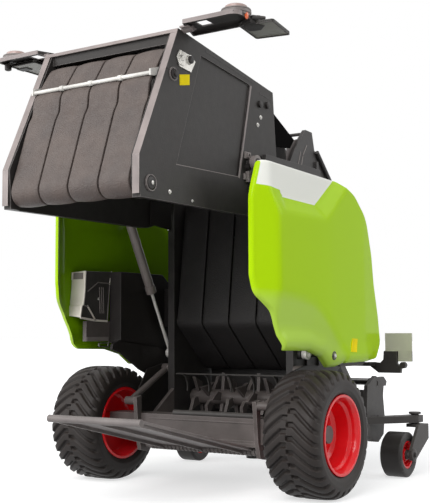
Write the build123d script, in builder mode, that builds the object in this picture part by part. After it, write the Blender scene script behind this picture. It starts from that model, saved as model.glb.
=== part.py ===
from build123d import *
import math
import os

# A 1:32 display model of a towed round baler, standing with its tailgate raised.
# Sizes are in millimetres of the model. X is to the right, Y is forward and Z is up.
# Every place below is measured from the point on the floor under the axle's middle.
os.makedirs("parts", exist_ok=True)

# Running gaps
move_gap = 0.35  # between two bodies that slide past each other
shaft_gap = 0.06  # radial gap of a shaft in its bore

# Road wheels
wheel_radius = 17.0
wheel_width = 16.4
tyre_clearance = 3.7  # between a tyre and the ramp's brace
rim_radius = 10.7
axle_stub_radius = 1.7

# Tyre lugs: two rows of bent bars, set half a pitch apart
lug_count = 30
lug_width = 2.3
lug_depth = 0.8
lug_lean = 7.0  # degrees that a bar's top falls towards the shoulder
lug_foot = 3.2  # along the tread, from a bar's middle to its inner end
casing_flat_half = 4.6

# Bale chamber, front half
wall_x = 19.9  # inner face
wall_thickness = 1.2
flange_x = 22.2
chamber_rear_y = 13.0
belt_count = 4
belt_pitch = 9.6
belt_width = 9.1
belt_thickness = 0.7

# Braces that carry the ramp's hinge plates
brace_x = flange_x + 1.1
brace_boss_half = 1.3
wheel_track = 2 * (brace_x + brace_boss_half + tyre_clearance + wheel_width / 2)

# Tailgate, drawn raised, turning about the pivot
pivot_y, pivot_z = -2.0, 90.0
gate_nose_radius = 14.4
gate_pin_radius = 1.6
gate_wall_x = 19.6  # inner face
gate_side_x = 22.0  # outer face
drum_radius = 17.4
guide_rod_y, guide_rod_z = -50.4, 107.0
guide_rod_radius = 0.5

# Lamp boards at the tailgate's rear corners
lamp_board_z = 119.7
lamp_board_thickness = 1.0
lamp_x, lamp_y = 36.8, -39.7

# Tailgate cylinders
cylinder_x = 24.3
barrel_radius = 1.4
rod_radius = 0.5
gate_eye_y, gate_eye_z = -10.5, 90.0
frame_eye_y, frame_eye_z = 17.0, 37.7
barrel_length = 38.0

# Feed rotor
rotor_y, rotor_z = 24.0, 24.0
rotor_tip_radius = 7.6
rotor_shaft_radius = 2.4
rotor_star_count = 9
rotor_star_pitch = 4.3

# Bale ramp
ramp_hinge_y, ramp_hinge_z = -0.6, 11.2
ramp_rear_y, ramp_rear_z = -48.4, 22.4
ramp_rear_half = 14.3
ramp_front_half = 17.6
ramp_tube_radius = 0.95

# Pickup
reel_y, reel_z = 51.4, 17.0
reel_tip_radius = 6.4
reel_half = 28.4
hoop_radius = 5.0
back_sheet_thickness = 0.7
tine_pitch = 3.3
shield_x = 29.4
shield_thickness = 1.2
pickup_pivot_y, pickup_pivot_z = 38.0, 27.0

# Gauge wheels of the pickup
gauge_x = 38.2
gauge_y = 49.8
gauge_radius = 6.8
gauge_width = 7.0
gauge_rim_radius = 4.2
swivel_x, swivel_y = 39.4, 60.2
swivel_radius = 1.2

# Side hoods
hood_thickness = 1.4
hood_skin_x = 37.4
hood_field_x = 35.7  # floor of the stepped-in upper field
hood_hinge_x, hood_hinge_z = 28.0, 86.0
hood_latch_y, hood_latch_z = 10.6, 37.6
hood_pin_radius = 0.6

# Drawbar and parking jack
hitch_y, hitch_z = 106.6, 15.5
hitch_eye_outer = 3.4
hitch_eye_bore = 1.7
hitch_eye_height = 2.2
jack_x, jack_y = -23.5, 66.4
jack_leg_radius = 1.2

# The origin is under the middle of the whole model's box
rear_end_y = -59.0
axle_y = -(rear_end_y + hitch_y + hitch_eye_outer) / 2

both_sides = (("left", -1), ("right", 1))
belt_centres = [(i - (belt_count - 1) / 2) * belt_pitch for i in range(belt_count)]


def side(x):
    """A plane across the machine at x, drawn in (Y, Z)."""
    return Plane(origin=(x, 0, 0), x_dir=(0, 1, 0), z_dir=(1, 0, 0))


def save(builder, label):
    """Writes one finished piece, moved so that the whole model is centred on its origin."""
    piece = builder.part.moved(Location((0, axle_y, 0)))
    piece.label = label
    export_step(piece, f"parts/{label}.step")


def block(x0, x1, y0, y1, z0, z1, mode=Mode.ADD):
    """A box given by its faces."""
    with Locations(((x0 + x1) / 2, (y0 + y1) / 2, (z0 + z1) / 2)):
        Box(abs(x1 - x0), abs(y1 - y0), abs(z1 - z0), mode=mode)


def cross_bar(x0, x1, y, z, radius, mode=Mode.ADD):
    """A round bar along X."""
    with Locations(Location(((x0 + x1) / 2, y, z), (0, 90, 0))):
        Cylinder(radius, abs(x1 - x0), mode=mode)


def lengthwise_bar(x, y0, y1, z, radius, mode=Mode.ADD):
    """A round bar along Y."""
    with Locations(Location((x, (y0 + y1) / 2, z), (90, 0, 0))):
        Cylinder(radius, abs(y1 - y0), mode=mode)


def post(x, y, z0, z1, radius, mode=Mode.ADD):
    """A round upright."""
    with Locations((x, y, (z0 + z1) / 2)):
        Cylinder(radius, abs(z1 - z0), mode=mode)


def side_plate(x0, x1, outline, mode=Mode.ADD):
    """A plate between x0 and x1 with its outline in (Y, Z)."""
    with BuildSketch(side(x0)) as profile:
        with BuildLine():
            Polyline(outline, close=True)
        make_face()
    extrude(profile.sketch, amount=x1 - x0, mode=mode)


def side_strip(x0, x1, path, thickness):
    """Bent sheet between x0 and x1 that follows a path in (Y, Z)."""
    with BuildSketch(side(x0)) as profile:
        with BuildLine() as line:
            Polyline(path)
        trace(line.line, line_width=thickness)
    extrude(profile.sketch, amount=x1 - x0)


def strut(start, end, radius, mode=Mode.ADD):
    """A round rod between two points."""
    way = Vector(*end) - Vector(*start)
    with BuildSketch(Plane(origin=start, z_dir=way)) as section:
        Circle(radius)
    extrude(section.sketch, amount=way.length, mode=mode)


def roller_hull(x, rollers, extra):
    """The outline that a belt takes round a set of rollers (Y, Z, radius)."""
    with BuildSketch(side(x)) as hull:
        for y, z, radius in rollers:
            with Locations((y, z)):
                Circle(radius + extra)
        make_hull()
    return hull.sketch


def roller_chain(x, rollers, extra):
    """The outline of a belt that runs along a row of rollers and back."""
    chain = roller_hull(x, rollers[:2], extra)
    for pair in zip(rollers[1:], rollers[2:]):
        chain = chain + roller_hull(x, pair, extra)
    return chain


def belts_round(rollers, roller_x, route):
    """Four belts side by side on one set of rollers, on the outline that route gives."""
    for centre in belt_centres:
        x = centre - belt_width / 2
        band = route(x, rollers, belt_thickness) - route(x, rollers, 0)
        extrude(band, amount=belt_width)
    for y, z, radius in rollers:
        cross_bar(-roller_x, roller_x, y, z, radius + 0.05)


def wheel_profile(outline, x, axis_z, out, axis_y=0.0):
    """A turned wheel part from (distance outwards, radius) pairs."""
    with BuildSketch(Plane(origin=(0, axis_y, 0), x_dir=(1, 0, 0), z_dir=(0, -1, 0))) as section:
        with BuildLine():
            Polyline([(x + out * along, axis_z + radius) for along, radius in outline], close=True)
        make_face()
    revolve(section.sketch, axis=Axis((0, axis_y, axis_z), (1, 0, 0)))


# Road wheels: a faceted casing with turned sidewalls under two rows of bent lugs
wheel_half = wheel_width / 2
shoulder_radius = wheel_radius - 2.7
lug_outline = [  # (outwards, along the tread)
    (0, -lug_foot), (1.8, -lug_foot), (7.4, 1.6), (7.4, 1.6 + lug_width), (1.6, lug_width - lug_foot),
    (0, lug_width - lug_foot)]


def tread_bar(out):
    """One bar from the tread's middle to a shoulder, at the front of a wheel round the X axis."""
    lean = math.radians(lug_lean)
    top_y = math.sqrt(wheel_radius ** 2 - lug_foot ** 2)
    top = Plane(origin=(0, top_y, 0), x_dir=(out * math.cos(lean), -math.sin(lean), 0),
                z_dir=(out * math.sin(lean), math.cos(lean), 0))
    with BuildPart() as bar:
        with BuildSketch(top) as outline:
            with BuildLine():
                Polyline([(across, -out * along) for across, along in lug_outline], close=True)
            make_face()
        extrude(outline.sketch, amount=-2.5 * lug_depth)
    return bar.part


lug_pitch = 360 / lug_count
tread = [tread_bar(out).rotate(Axis.X, lug * lug_pitch + turn)
         for out, turn in ((1, 0), (-1, lug_pitch / 2)) for lug in range(lug_count)]
for name, s in both_sides:
    tyre_x = s * wheel_track / 2
    with BuildPart() as tyre:
        casing = []
        for out, radius in ((0.2 - wheel_half, shoulder_radius), (-casing_flat_half, wheel_radius - lug_depth),
                            (casing_flat_half, wheel_radius - lug_depth), (wheel_half - 0.2, shoulder_radius)):
            with BuildSketch(side(tyre_x + out)) as ring:
                with Locations((0, wheel_radius)):
                    RegularPolygon(radius, 2 * lug_count)
            casing.append(ring.sketch)
        loft(casing, ruled=True)
        wheel_profile([
            (-wheel_half + 0.9, rim_radius), (-wheel_half, 12.4), (-wheel_half, shoulder_radius),
            (wheel_half, shoulder_radius), (wheel_half, 12.4), (wheel_half - 0.9, rim_radius),
        ], tyre_x, wheel_radius, s)
        cross_bar(tyre_x - wheel_half, tyre_x + wheel_half, 0, wheel_radius, rim_radius, Mode.SUBTRACT)
        add([bar.moved(Location((tyre_x, 0, wheel_radius))) for bar in tread])
    save(tyre, f"tyre_{name}")
    bore = axle_stub_radius + shaft_gap
    with BuildPart() as rim:
        wheel_profile([
            (-7.6, rim_radius), (-7.6, 9.9), (-6.6, 9.5), (-2.4, 9.0), (-1.4, 7.8), (-0.9, 3.2),
            (-4.2, 2.9), (-4.2, bore), (2.4, bore),
            (2.4, 2.9), (1.2, 3.4), (0.9, 6.8), (1.7, 7.9), (5.2, 8.5), (5.8, 9.2), (7.0, 9.4),
            (7.5, 9.8), (7.9, 10.0), (7.9, rim_radius),
        ], s * wheel_track / 2, wheel_radius, s)
    save(rim, f"rim_{name}")

# Axle: a square beam with a stub and a cap at each end, and two posts up to the chamber
beam_half = wheel_track / 2 - 4.2 - move_gap
with BuildPart() as axle:
    block(-beam_half, beam_half, -3.5, 3.5, wheel_radius - 3.5, wheel_radius + 3.5)
    cap_x = wheel_track / 2 + 2.4 + move_gap
    cross_bar(-cap_x, cap_x, 0, wheel_radius, axle_stub_radius)
    for s in (-1, 1):
        cross_bar(s * cap_x, s * (cap_x + 1.0), 0, wheel_radius, 2.4)
        side_plate(s * wall_x, s * (wall_x + wall_thickness), [
            (3.5, 13.5), (15.6, 14.8), (13.0, 19.5), (13.0, 27.0), (3.5, 20.5)])
save(axle, "axle")

# Bale chamber walls with a flanged rear post, ribs and the tailgate's pivot lug
for name, s in both_sides:
    inner = s * wall_x
    outer = s * (wall_x + wall_thickness)
    lug_x = s * (flange_x + move_gap)
    with BuildPart() as chamber:
        side_plate(inner, outer, [
            (chamber_rear_y, 27.0), (chamber_rear_y, 19.5), (15.6, 14.8), (31.0, 14.0), (41.0, 18.0),
            (43.0, 32.0), (50.0, 36.0), (51.5, 60.0), (47.0, 80.0), (36.0, 95.0), (29.5, 99.5),
            (28.0, 104.8), (24.0, 105.0), (17.0, 98.0), (chamber_rear_y, 92.0)])
        cross_bar(inner, outer, rotor_y, rotor_z, rotor_shaft_radius + shaft_gap, Mode.SUBTRACT)
        cross_bar(inner, outer, pickup_pivot_y, pickup_pivot_z, 1.3, Mode.SUBTRACT)
        block(inner, s * flange_x, chamber_rear_y, chamber_rear_y + 2.4, 20.0, 84.0)
        for rib_y, rib_low, rib_high in ((22.5, 34.0, 80.0), (30.0, 34.0, 96.0), (40.0, 36.0, 86.0)):
            block(outer, outer + s * 0.8, rib_y - 0.6, rib_y + 0.6, rib_low, rib_high)
        side_plate(lug_x, lug_x + s * 1.3, [
            (pivot_y - 3.2, 87.6), (14.0, 81.5), (28.0, 83.0), (28.0, 93.0), (pivot_y - 2.0, 93.2)])
        block(outer, lug_x, 16.0, 26.0, 84.0, 91.0)
        cross_bar(inner, lug_x, pivot_y, pivot_z, gate_pin_radius)
        for hinge_y in (6.0, 25.0):
            block(lug_x + s * 1.3, s * hood_hinge_x, hinge_y - 0.8, hinge_y + 0.8, 84.8, 87.2)
        lengthwise_bar(s * hood_hinge_x, 5.2, 25.8, hood_hinge_z, hood_pin_radius)
        block(outer, s * 34.6, 21.9, 23.1, hood_latch_z - 0.8, hood_latch_z + 0.8)
        block(s * 33.9, s * 35.1, hood_latch_y - 1.0, 23.1, hood_latch_z - 0.8, hood_latch_z + 0.8)
        strut((s * 21.6, 30.0, 99.0), (s * 21.6, 38.4, 91.2), 0.7)
        cross_bar(outer, s * (cylinder_x - 0.8 - move_gap), frame_eye_y, frame_eye_z, 1.5)
    save(chamber, f"chamber_wall_{name}")

# Front belts round the chamber's front rollers
front_rollers = [  # (y, z, radius)
    (15.9, 47.6, 2.0), (20.4, 82.0, 2.2), (34.0, 88.0, 2.2), (43.5, 74.0, 2.2),
    (45.5, 56.0, 2.2), (29.8, 35.2, 2.0),
]
with BuildPart() as front_belts:
    belts_round(front_rollers, wall_x, roller_hull)
save(front_belts, "front_belts")

# Front cover: sheet between the walls with open bars above it
with BuildPart() as front_cover:
    side_strip(-wall_x, wall_x, [(29.4, 98.0), (35.2, 94.2), (46.2, 79.6), (50.6, 60.0), (49.2, 37.0)], 0.8)
    for bar_y, bar_z in ((25.6, 104.2), (26.9, 101.8), (28.2, 99.4)):
        cross_bar(-wall_x, wall_x, bar_y, bar_z, 0.5)
    for s in (-1, 1):
        side_strip(s * (wall_x - 0.6), s * wall_x, [(25.6, 104.2), (28.2, 99.4), (29.6, 97.8)], 0.9)
save(front_cover, "front_cover")

# Curved guard round the tailgate's pivot
with BuildPart() as pivot_guard:
    with BuildSketch(side(-wall_x)) as guard:
        with BuildLine() as guard_line:
            CenterArc((pivot_y, pivot_z), drum_radius, 10, 56)
        trace(guard_line.line, line_width=0.8)
    extrude(guard.sketch, amount=2 * wall_x)
save(pivot_guard, "pivot_guard")

# Pan under the feed rotor
with BuildPart() as intake_pan:
    side_strip(-wall_x, wall_x, [(16.6, 15.3), (30.5, 15.3), (42.0, 18.9)], 0.8)
save(intake_pan, "intake_pan")

# Feed rotor: a shaft with hooked stars
with BuildPart() as rotor:
    cross_bar(-wall_x - wall_thickness, wall_x + wall_thickness, rotor_y, rotor_z, rotor_shaft_radius)
    star_tine = [(2.2, -8), (4.6, 4), (rotor_tip_radius, 34), (5.6, 36), (3.8, 42), (2.2, 58)]
    for star in range(rotor_star_count):
        star_x = (star - (rotor_star_count - 1) / 2) * rotor_star_pitch
        with BuildSketch(side(star_x - 0.5)) as section:
            for turn in range(4):
                angle = 90 * turn + 30 * (star % 3)
                with BuildLine():
                    Polyline([(rotor_y + r * math.cos(math.radians(angle + a)),
                               rotor_z + r * math.sin(math.radians(angle + a)))
                              for r, a in star_tine], close=True)
                make_face()
        extrude(section.sketch, amount=1.0)
save(rotor, "feed_rotor")

# Tailgate: two walls with a rear flange, a top sheet and cross bars
gate_pitch = (-58.8, 85.6)
with BuildPart() as gate:
    for s in (-1, 1):
        thin_x = s * 20.6
        outer_x = s * gate_side_x
        with BuildSketch(side(thin_x)) as wall:
            with BuildLine():
                l1 = Polyline([(4.8, 77.3), (4.8, 92.5), (3.0, 112.1), (-43.0, 119.3),
                               (-58.8, 85.6), (-58.2, 75.6), (pivot_y, pivot_z - gate_nose_radius)])
                ThreePointArc((pivot_y, pivot_z - gate_nose_radius),
                              (pivot_y + gate_nose_radius * math.sin(0.25),
                               pivot_z - gate_nose_radius * math.cos(0.25)), (4.8, 77.3))
            make_face()
            with Locations((pivot_y, pivot_z)):
                Circle(gate_pin_radius + shaft_gap, mode=Mode.SUBTRACT)
        extrude(wall.sketch, amount=outer_x - thin_x)
        side_plate(s * gate_wall_x, outer_x, [
            (-43.0, 119.3), (-58.8, 85.6), (-58.2, 75.6), (-55.2, 75.6), (-55.8, 85.2), (-40.6, 117.4)])
        side_plate(s * (gate_side_x - 0.5), outer_x, [
            (-33.1, 114.6), (-9.5, 111.8), (-15.0, 85.6), (-43.9, 85.1)], Mode.SUBTRACT)
        cross_bar(outer_x, s * (cylinder_x + 1.1), gate_eye_y, gate_eye_z, 1.0)
    block(-20.8, 20.8, -43.0, -40.2, 115.9, 118.6)
    side_strip(-20.8, 20.8, [(-41.0, 118.3), (2.6, 111.5)], 0.8)
save(gate, "tailgate_shell")

# The tailgate's belts run up its rear and forward under its top sheet, and back inside
gate_rollers = [  # (y, z, radius)
    (-55.4, 79.8, 2.9), (-47.6, 104.0, 2.6), (-42.9, 111.8, 2.2), (-10.0, 107.2, 2.2),
]
with BuildPart() as gate_belts:
    belts_round(gate_rollers, gate_wall_x, roller_chain)
save(gate_belts, "tailgate_belts")

with BuildPart() as guide_rod:
    cross_bar(-gate_wall_x, gate_wall_x, guide_rod_y, guide_rod_z, guide_rod_radius)
    for ring_x in (-belt_pitch, 0.0, belt_pitch):
        cross_bar(ring_x - 0.6, ring_x + 0.6, guide_rod_y, guide_rod_z, guide_rod_radius + 0.2)
    for s in (-1, 1):
        side_plate(s * (gate_wall_x - 0.5), s * gate_wall_x, [
            (guide_rod_y - 0.8, guide_rod_z - 0.8), (guide_rod_y + 0.8, guide_rod_z - 0.7),
            (guide_rod_y + 3.0, guide_rod_z + 0.2), (guide_rod_y + 3.0, guide_rod_z + 2.0),
            (guide_rod_y - 0.8, guide_rod_z + 0.8)])
save(guide_rod, "belt_guide_rod")

# Lamp carriers: the left second board is folded in under the first, the right one is swung out
second_board = {"left": (-33.7, -34.2, 0), "right": (39.1, -30.1, 10)}  # (x, y, turn)
lamp_board_top = lamp_board_z + lamp_board_thickness
for name, s in both_sides:
    with BuildPart() as carrier:
        block(s * gate_side_x, s * 25.5, -41.4, -38.4, lamp_board_z - 2.3, lamp_board_z + 0.3)
        block(s * 24.8, s * 39.6, -44.8, -34.0, lamp_board_z, lamp_board_top)
        block(s * 26.1, s * 29.1, -41.0, -37.4, lamp_board_z, lamp_board_top, Mode.SUBTRACT)
        board_x, board_y, turn = second_board[name]
        with BuildSketch(Plane.XY.offset(lamp_board_z - 0.55)) as board:
            with Locations(Location((board_x, board_y), turn)):
                Rectangle(9.2, 12.4)
        extrude(board.sketch, amount=0.7)
        post(s * 38.0, -35.2, lamp_board_z - 1.2, lamp_board_top + 0.2, 1.0)
    save(carrier, f"lamp_carrier_{name}")
    with BuildPart() as lamp:
        post(s * lamp_x, lamp_y, lamp_board_top, lamp_board_top + 1.5, 3.4)
        post(s * lamp_x, lamp_y, lamp_board_top + 1.5, lamp_board_top + 2.7, 2.8)
        chamfer(lamp.edges().filter_by(GeomType.CIRCLE).group_by(Axis.Z)[-1], 0.5)
    save(lamp, f"rear_lamp_{name}")

# Tailgate cylinders: barrel pinned to the tailgate, rod beside its boss on the chamber
stroke_way = Vector(0, frame_eye_y - gate_eye_y, frame_eye_z - gate_eye_z)
reach = stroke_way.length
way = stroke_way.normalized()


def along_cylinder(x, distance):
    """A point on the cylinder's axis, measured from its upper eye."""
    return (x, gate_eye_y + way.Y * distance, gate_eye_z + way.Z * distance)


for name, s in both_sides:
    x = s * cylinder_x
    with BuildPart() as barrel:
        cross_bar(x - 0.8, x + 0.8, gate_eye_y, gate_eye_z, 1.9)
        strut(along_cylinder(x, 1.2), along_cylinder(x, barrel_length), barrel_radius)
        strut(along_cylinder(x, barrel_length - 2.2), along_cylinder(x, barrel_length), 1.6)
        cross_bar(x - 0.8, x + 0.8, gate_eye_y, gate_eye_z, 1.0 + shaft_gap, Mode.SUBTRACT)
        strut(along_cylinder(x, 18.0), along_cylinder(x, barrel_length), rod_radius + shaft_gap, Mode.SUBTRACT)
    save(barrel, f"gate_barrel_{name}")
    with BuildPart() as rod:
        strut(along_cylinder(x, barrel_length - 6.0), along_cylinder(x, reach - 0.8), rod_radius)
        cross_bar(x - 0.8, x + 0.8, frame_eye_y, frame_eye_z, 1.5)
        cross_bar(x - 0.8, x + 0.8, frame_eye_y, frame_eye_z, 0.7, Mode.SUBTRACT)
    save(rod, f"gate_rod_{name}")

# Side hoods: creased sheet with a stepped-in upper field, swinging up on two arms
hood_outline = [  # (y, z)
    (-22.8, 87.9), (8.0, 87.0), (24.5, 83.2), (33.6, 76.5), (36.8, 64.0), (43.9, 42.0), (42.4, 39.3),
    (35.0, 35.6), (12.0, 35.7), (8.6, 34.6), (5.6, 34.4), (-5.0, 39.0), (-17.0, 39.6), (-19.6, 42.8),
    (-23.0, 50.6), (-26.8, 54.2), (-26.8, 80.0),
]
hood_corner_radius = 2.0
hood_plan = [(33.2, -26.8), (37.3, -20.0), (hood_skin_x, 8.0), (37.0, 30.0), (35.8, 44.0)]  # (x, y)
hood_tuck = [(-30.0, 53.2, 1.2), (0.0, 53.2, 1.2), (14.3, 39.6, 0.4)]  # (y, crease height, depth at the foot)
field_top = 95.0
field_floor = [(-17.2, 78.6), (3.0, 78.9), (12.8, 86.2), (12.8, field_top), (-17.2, field_top)]  # (y, z)
field_edge = [(-20.9, 74.5), (6.6, 75.3), (18.7, 84.3), (18.7, field_top), (-20.9, field_top)]
field_back = [(-19.0, 76.4), (5.0, 77.0), (16.0, 85.6), (16.0, field_top), (-19.0, field_top)]


def hood_form(s, inset):
    """All that lies inside a hood's outer faces, moved inwards by the inset."""
    with BuildPart() as form:
        with BuildSketch(Plane.XY.offset(30)) as plan:
            with BuildLine():
                Polyline([(s * (x - inset), y) for x, y in hood_plan]
                         + [(s * 25.0, hood_plan[-1][1]), (s * 25.0, hood_plan[0][1])], close=True)
            make_face()
        extrude(plan.sketch, amount=60)
        wedge_x = hood_skin_x - 0.05 - inset
        wedges = []
        for y, crease_z, depth in hood_tuck:
            with BuildSketch(Plane(origin=(0, y, 0), x_dir=(1, 0, 0), z_dir=(0, -1, 0))) as wedge:
                with BuildLine():
                    Polyline([(s * wedge_x, crease_z), (s * (wedge_x + 1), crease_z),
                              (s * (wedge_x + 1), 29.0), (s * (wedge_x - depth), 29.0)], close=True)
                make_face()
            wedges.append(wedge.sketch)
        loft(wedges, ruled=True, mode=Mode.SUBTRACT)
    return form.part


for name, s in both_sides:
    with BuildPart() as hood:
        add(hood_form(s, 0))
        add(hood_form(s, hood_thickness), mode=Mode.SUBTRACT)
        side_plate(s * (hood_field_x - hood_thickness), s * (hood_skin_x - hood_thickness + 0.1), field_back)
        step = []
        for x, shape in ((hood_field_x, field_floor), (hood_skin_x + 0.2, field_edge)):
            with BuildSketch(side(s * x)) as level:
                with BuildLine():
                    Polyline(shape, close=True)
                make_face()
            step.append(level.sketch)
        loft(step, ruled=True, mode=Mode.SUBTRACT)
        with BuildSketch(side(0)) as outline:
            with BuildLine():
                FilletPolyline(*hood_outline, radius=hood_corner_radius, close=True)
            make_face()
        extrude(outline.sketch, amount=s * 50, mode=Mode.INTERSECT)
        cross_bar(s * 30, s * 40, hood_latch_y, hood_latch_z, 0.9, Mode.SUBTRACT)
        for arm_y, arm_x in ((7.0, 35.3), (20.0, 36.4)):
            lengthwise_bar(s * hood_hinge_x, arm_y, arm_y + 3.0, hood_hinge_z, 1.4)
            block(s * hood_hinge_x, s * arm_x, arm_y, arm_y + 3.0, 81.6, 83.0)
            block(s * (hood_hinge_x - 1.0), s * (hood_hinge_x + 1.4), arm_y, arm_y + 3.0, 81.6, hood_hinge_z)
            lengthwise_bar(s * hood_hinge_x, arm_y, arm_y + 3.0, hood_hinge_z,
                           hood_pin_radius + shaft_gap, Mode.SUBTRACT)
    save(hood, f"hood_{name}")

# Left-hand valve housing with its foot plate above the wheel, and the tapered cover on its outer side
housing_x = -31.0
cover_low, cover_high = 47.4, 62.2
with BuildPart() as housing:
    side_plate(housing_x, -26.6, [(-5.0, 41.4), (22.0, 38.5), (22.0, 58.0), (16.0, 62.4), (-5.0, 62.4)])
    side_plate(-27.6, -26.6, [
        (-5.0, 42.0), (-8.6, 40.8), (-9.0, 39.3), (-4.4, 38.1), (4.5, 32.9), (12.0, 30.0), (22.0, 30.0), (22.0, 39.0)])
    block(-34.4, housing_x, -15.6, 0.0, 41.6, cover_low)
    block(-27.6, -wall_x - wall_thickness, 17.0, 21.4, 46.0, 58.0)
save(housing, "valve_housing")
with BuildPart() as cover:
    side_plate(-35.1, housing_x, [(-16.9, cover_low), (-3.0, cover_low), (-3.0, cover_high), (-14.2, cover_high)])
    side_plate(housing_x - 0.8, housing_x, [(-14.6, 55.6), (-11.6, 60.2), (-5.0, 60.2), (-5.0, 48.8), (-12.6, 48.8)],
               Mode.SUBTRACT)
save(cover, "valve_cover")

# Ramp hinge plates with the braces up to the chamber
for name, s in both_sides:
    with BuildPart() as hanger:
        side_plate(s * 19.9, s * 21.1, [
            (-5.9, 25.2), (-3.5, 25.6), (-3.5, 13.5), (2.0, 13.5), (1.4, 10.0), (-0.6, 9.2),
            (-3.6, 9.8), (-4.8, 14.0)])
        cross_bar(s * 19.9, s * 21.1, ramp_hinge_y, ramp_hinge_z, 0.8 + shaft_gap, Mode.SUBTRACT)
        cross_bar(s * 21.1, s * (brace_x + brace_boss_half), -4.5, 24.1, 1.2)
        strut((s * brace_x, -4.5, 24.1), (s * brace_x, 13.8, 33.2), 0.9)
        cross_bar(s * flange_x, s * (brace_x + brace_boss_half), 13.9, 33.3, 1.2)
    save(hanger, f"ramp_hanger_{name}")

# Bale ramp: sheet with three ribs between its hinge tube and its rear tube
ramp_rise = (ramp_rear_z - ramp_hinge_z) / (ramp_rear_y - ramp_hinge_y)
with BuildPart() as ramp:
    cross_bar(-19.5, 19.5, ramp_hinge_y, ramp_hinge_z, ramp_tube_radius)
    cross_bar(-21.0, 21.0, ramp_hinge_y, ramp_hinge_z, 0.8)
    cross_bar(-ramp_rear_half - 0.6, ramp_rear_half + 0.6, ramp_rear_y, ramp_rear_z, ramp_tube_radius)
    tilt = math.degrees(math.atan2(ramp_rear_z - ramp_hinge_z, ramp_hinge_y - ramp_rear_y))
    deck = Plane(origin=(0, ramp_hinge_y, ramp_hinge_z), x_dir=(1, 0, 0),
                 z_dir=(0, math.sin(math.radians(tilt)), math.cos(math.radians(tilt))))
    deck_length = math.hypot(ramp_rear_z - ramp_hinge_z, ramp_rear_y - ramp_hinge_y)
    with BuildSketch(deck.offset(0.1)) as sheet:
        with BuildLine():
            Polyline([(-ramp_front_half, 0), (ramp_front_half, 0),
                      (ramp_rear_half, -deck_length), (-ramp_rear_half, -deck_length)], close=True)
        make_face()
    extrude(sheet.sketch, amount=0.7)
    with BuildSketch(deck.offset(-0.8)) as ribs:
        with Locations((-13.6, -deck_length / 2), (0, -deck_length / 2), (13.6, -deck_length / 2)):
            Rectangle(0.9, deck_length - 0.4)
    extrude(ribs.sketch, amount=1.0)
save(ramp, "bale_ramp")

# Pickup frame: side shields, cross beam, back sheet, hoops and the gauge wheel arms
tine_columns = 2 * int(reel_half / tine_pitch - 0.5) + 1
with BuildPart() as pickup:
    for s in (-1, 1):
        x0 = s * shield_x
        x1 = s * (shield_x + shield_thickness)
        side_plate(x0, x1, [
            (43.9, 21.0), (44.2, 12.6), (47.0, 10.4), (52.0, 9.8), (56.0, 12.0), (57.0, 17.6), (56.0, 24.0),
            (56.6, 27.0), (54.6, 29.2), (50.6, 30.4), (44.6, 27.6)])
        cross_bar(x0, x1, reel_y, reel_z, 1.2 + shaft_gap, Mode.SUBTRACT)
        cross_bar(x0, x1, 51.5, 28.0, 0.8 + shaft_gap, Mode.SUBTRACT)
        with BuildSketch(Plane.XY.offset(15.8)) as arm:
            with BuildLine():
                Polyline([(x1, 45.2), (s * (swivel_x + 2.0), swivel_y - 1.9), (s * (swivel_x + 2.0), swivel_y + 1.9),
                          (s * (swivel_x - 2.0), swivel_y + 1.9), (x1, 50.4)], close=True)
            make_face()
        extrude(arm.sketch, amount=2.2)
        post(s * swivel_x, swivel_y, 15.0, 19.0, swivel_radius + shaft_gap, Mode.SUBTRACT)
        side_plate(s * (flange_x + move_gap), s * (flange_x + move_gap + 1.2), [
            (36.0, 27.8), (37.0, 29.0), (39.4, 29.0), (48.0, 26.4), (48.0, 24.4), (45.6, 23.4), (36.6, 25.4)])
        cross_bar(s * wall_x, s * (flange_x + move_gap), pickup_pivot_y, pickup_pivot_z, 1.3 - shaft_gap)
    back_y = reel_y - reel_tip_radius - move_gap - back_sheet_thickness / 2
    block(-shield_x, shield_x, back_y, 47.4, 23.6, 26.2)
    side_strip(-shield_x, shield_x, [(back_y, 24.0), (back_y, reel_z - hoop_radius)], back_sheet_thickness)
    for column in range(tine_columns + 1):
        hoop_x = (column - tine_columns / 2) * tine_pitch
        with BuildSketch(side(hoop_x - 0.7)) as hoop:
            with BuildLine() as band:
                Line((back_y, reel_z + hoop_radius), (reel_y, reel_z + hoop_radius))
                CenterArc((reel_y, reel_z), hoop_radius, 90, -180)
                Line((reel_y, reel_z - hoop_radius), (back_y, reel_z - hoop_radius))
            trace(band.line, line_width=0.6)
        extrude(hoop.sketch, amount=1.4)
save(pickup, "pickup_frame")

with BuildPart() as reel:
    cross_bar(-shield_x - 1.0, shield_x + 1.0, reel_y, reel_z, 1.2)
    for s in (-1, 1):
        cross_bar(s * (shield_x - 1.2), s * (shield_x - 0.4), reel_y, reel_z, hoop_radius - 0.8)
    for column in range(tine_columns):
        tine_x = (column - (tine_columns - 1) / 2) * tine_pitch
        with BuildSketch(side(tine_x - 0.4)) as cross:
            with Locations((reel_y, reel_z)):
                with PolarLocations(0, 4, 45 * (column % 2)):
                    Rectangle(reel_tip_radius, 0.8, align=(Align.MIN, Align.CENTER))
        extrude(cross.sketch, amount=0.8)
save(reel, "pickup_reel")

with BuildPart() as crop_guard:
    for s in (-1, 1):
        side_plate(s * 27.8, s * (shield_x - move_gap), [
            (50.2, 28.2), (51.4, 29.6), (60.2, 29.8), (62.4, 28.2), (61.8, 26.8), (59.6, 26.8), (51.4, 26.8)])
        cross_bar(s * 27.8, s * (shield_x + 1.0), 51.5, 28.0, 0.8)
    cross_bar(-27.8, 27.8, 60.8, 28.0, 1.1)
    side_strip(-27.8, 27.8, [(51.8, 28.6), (60.6, 28.6)], 0.6)
save(crop_guard, "crop_guard")

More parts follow.
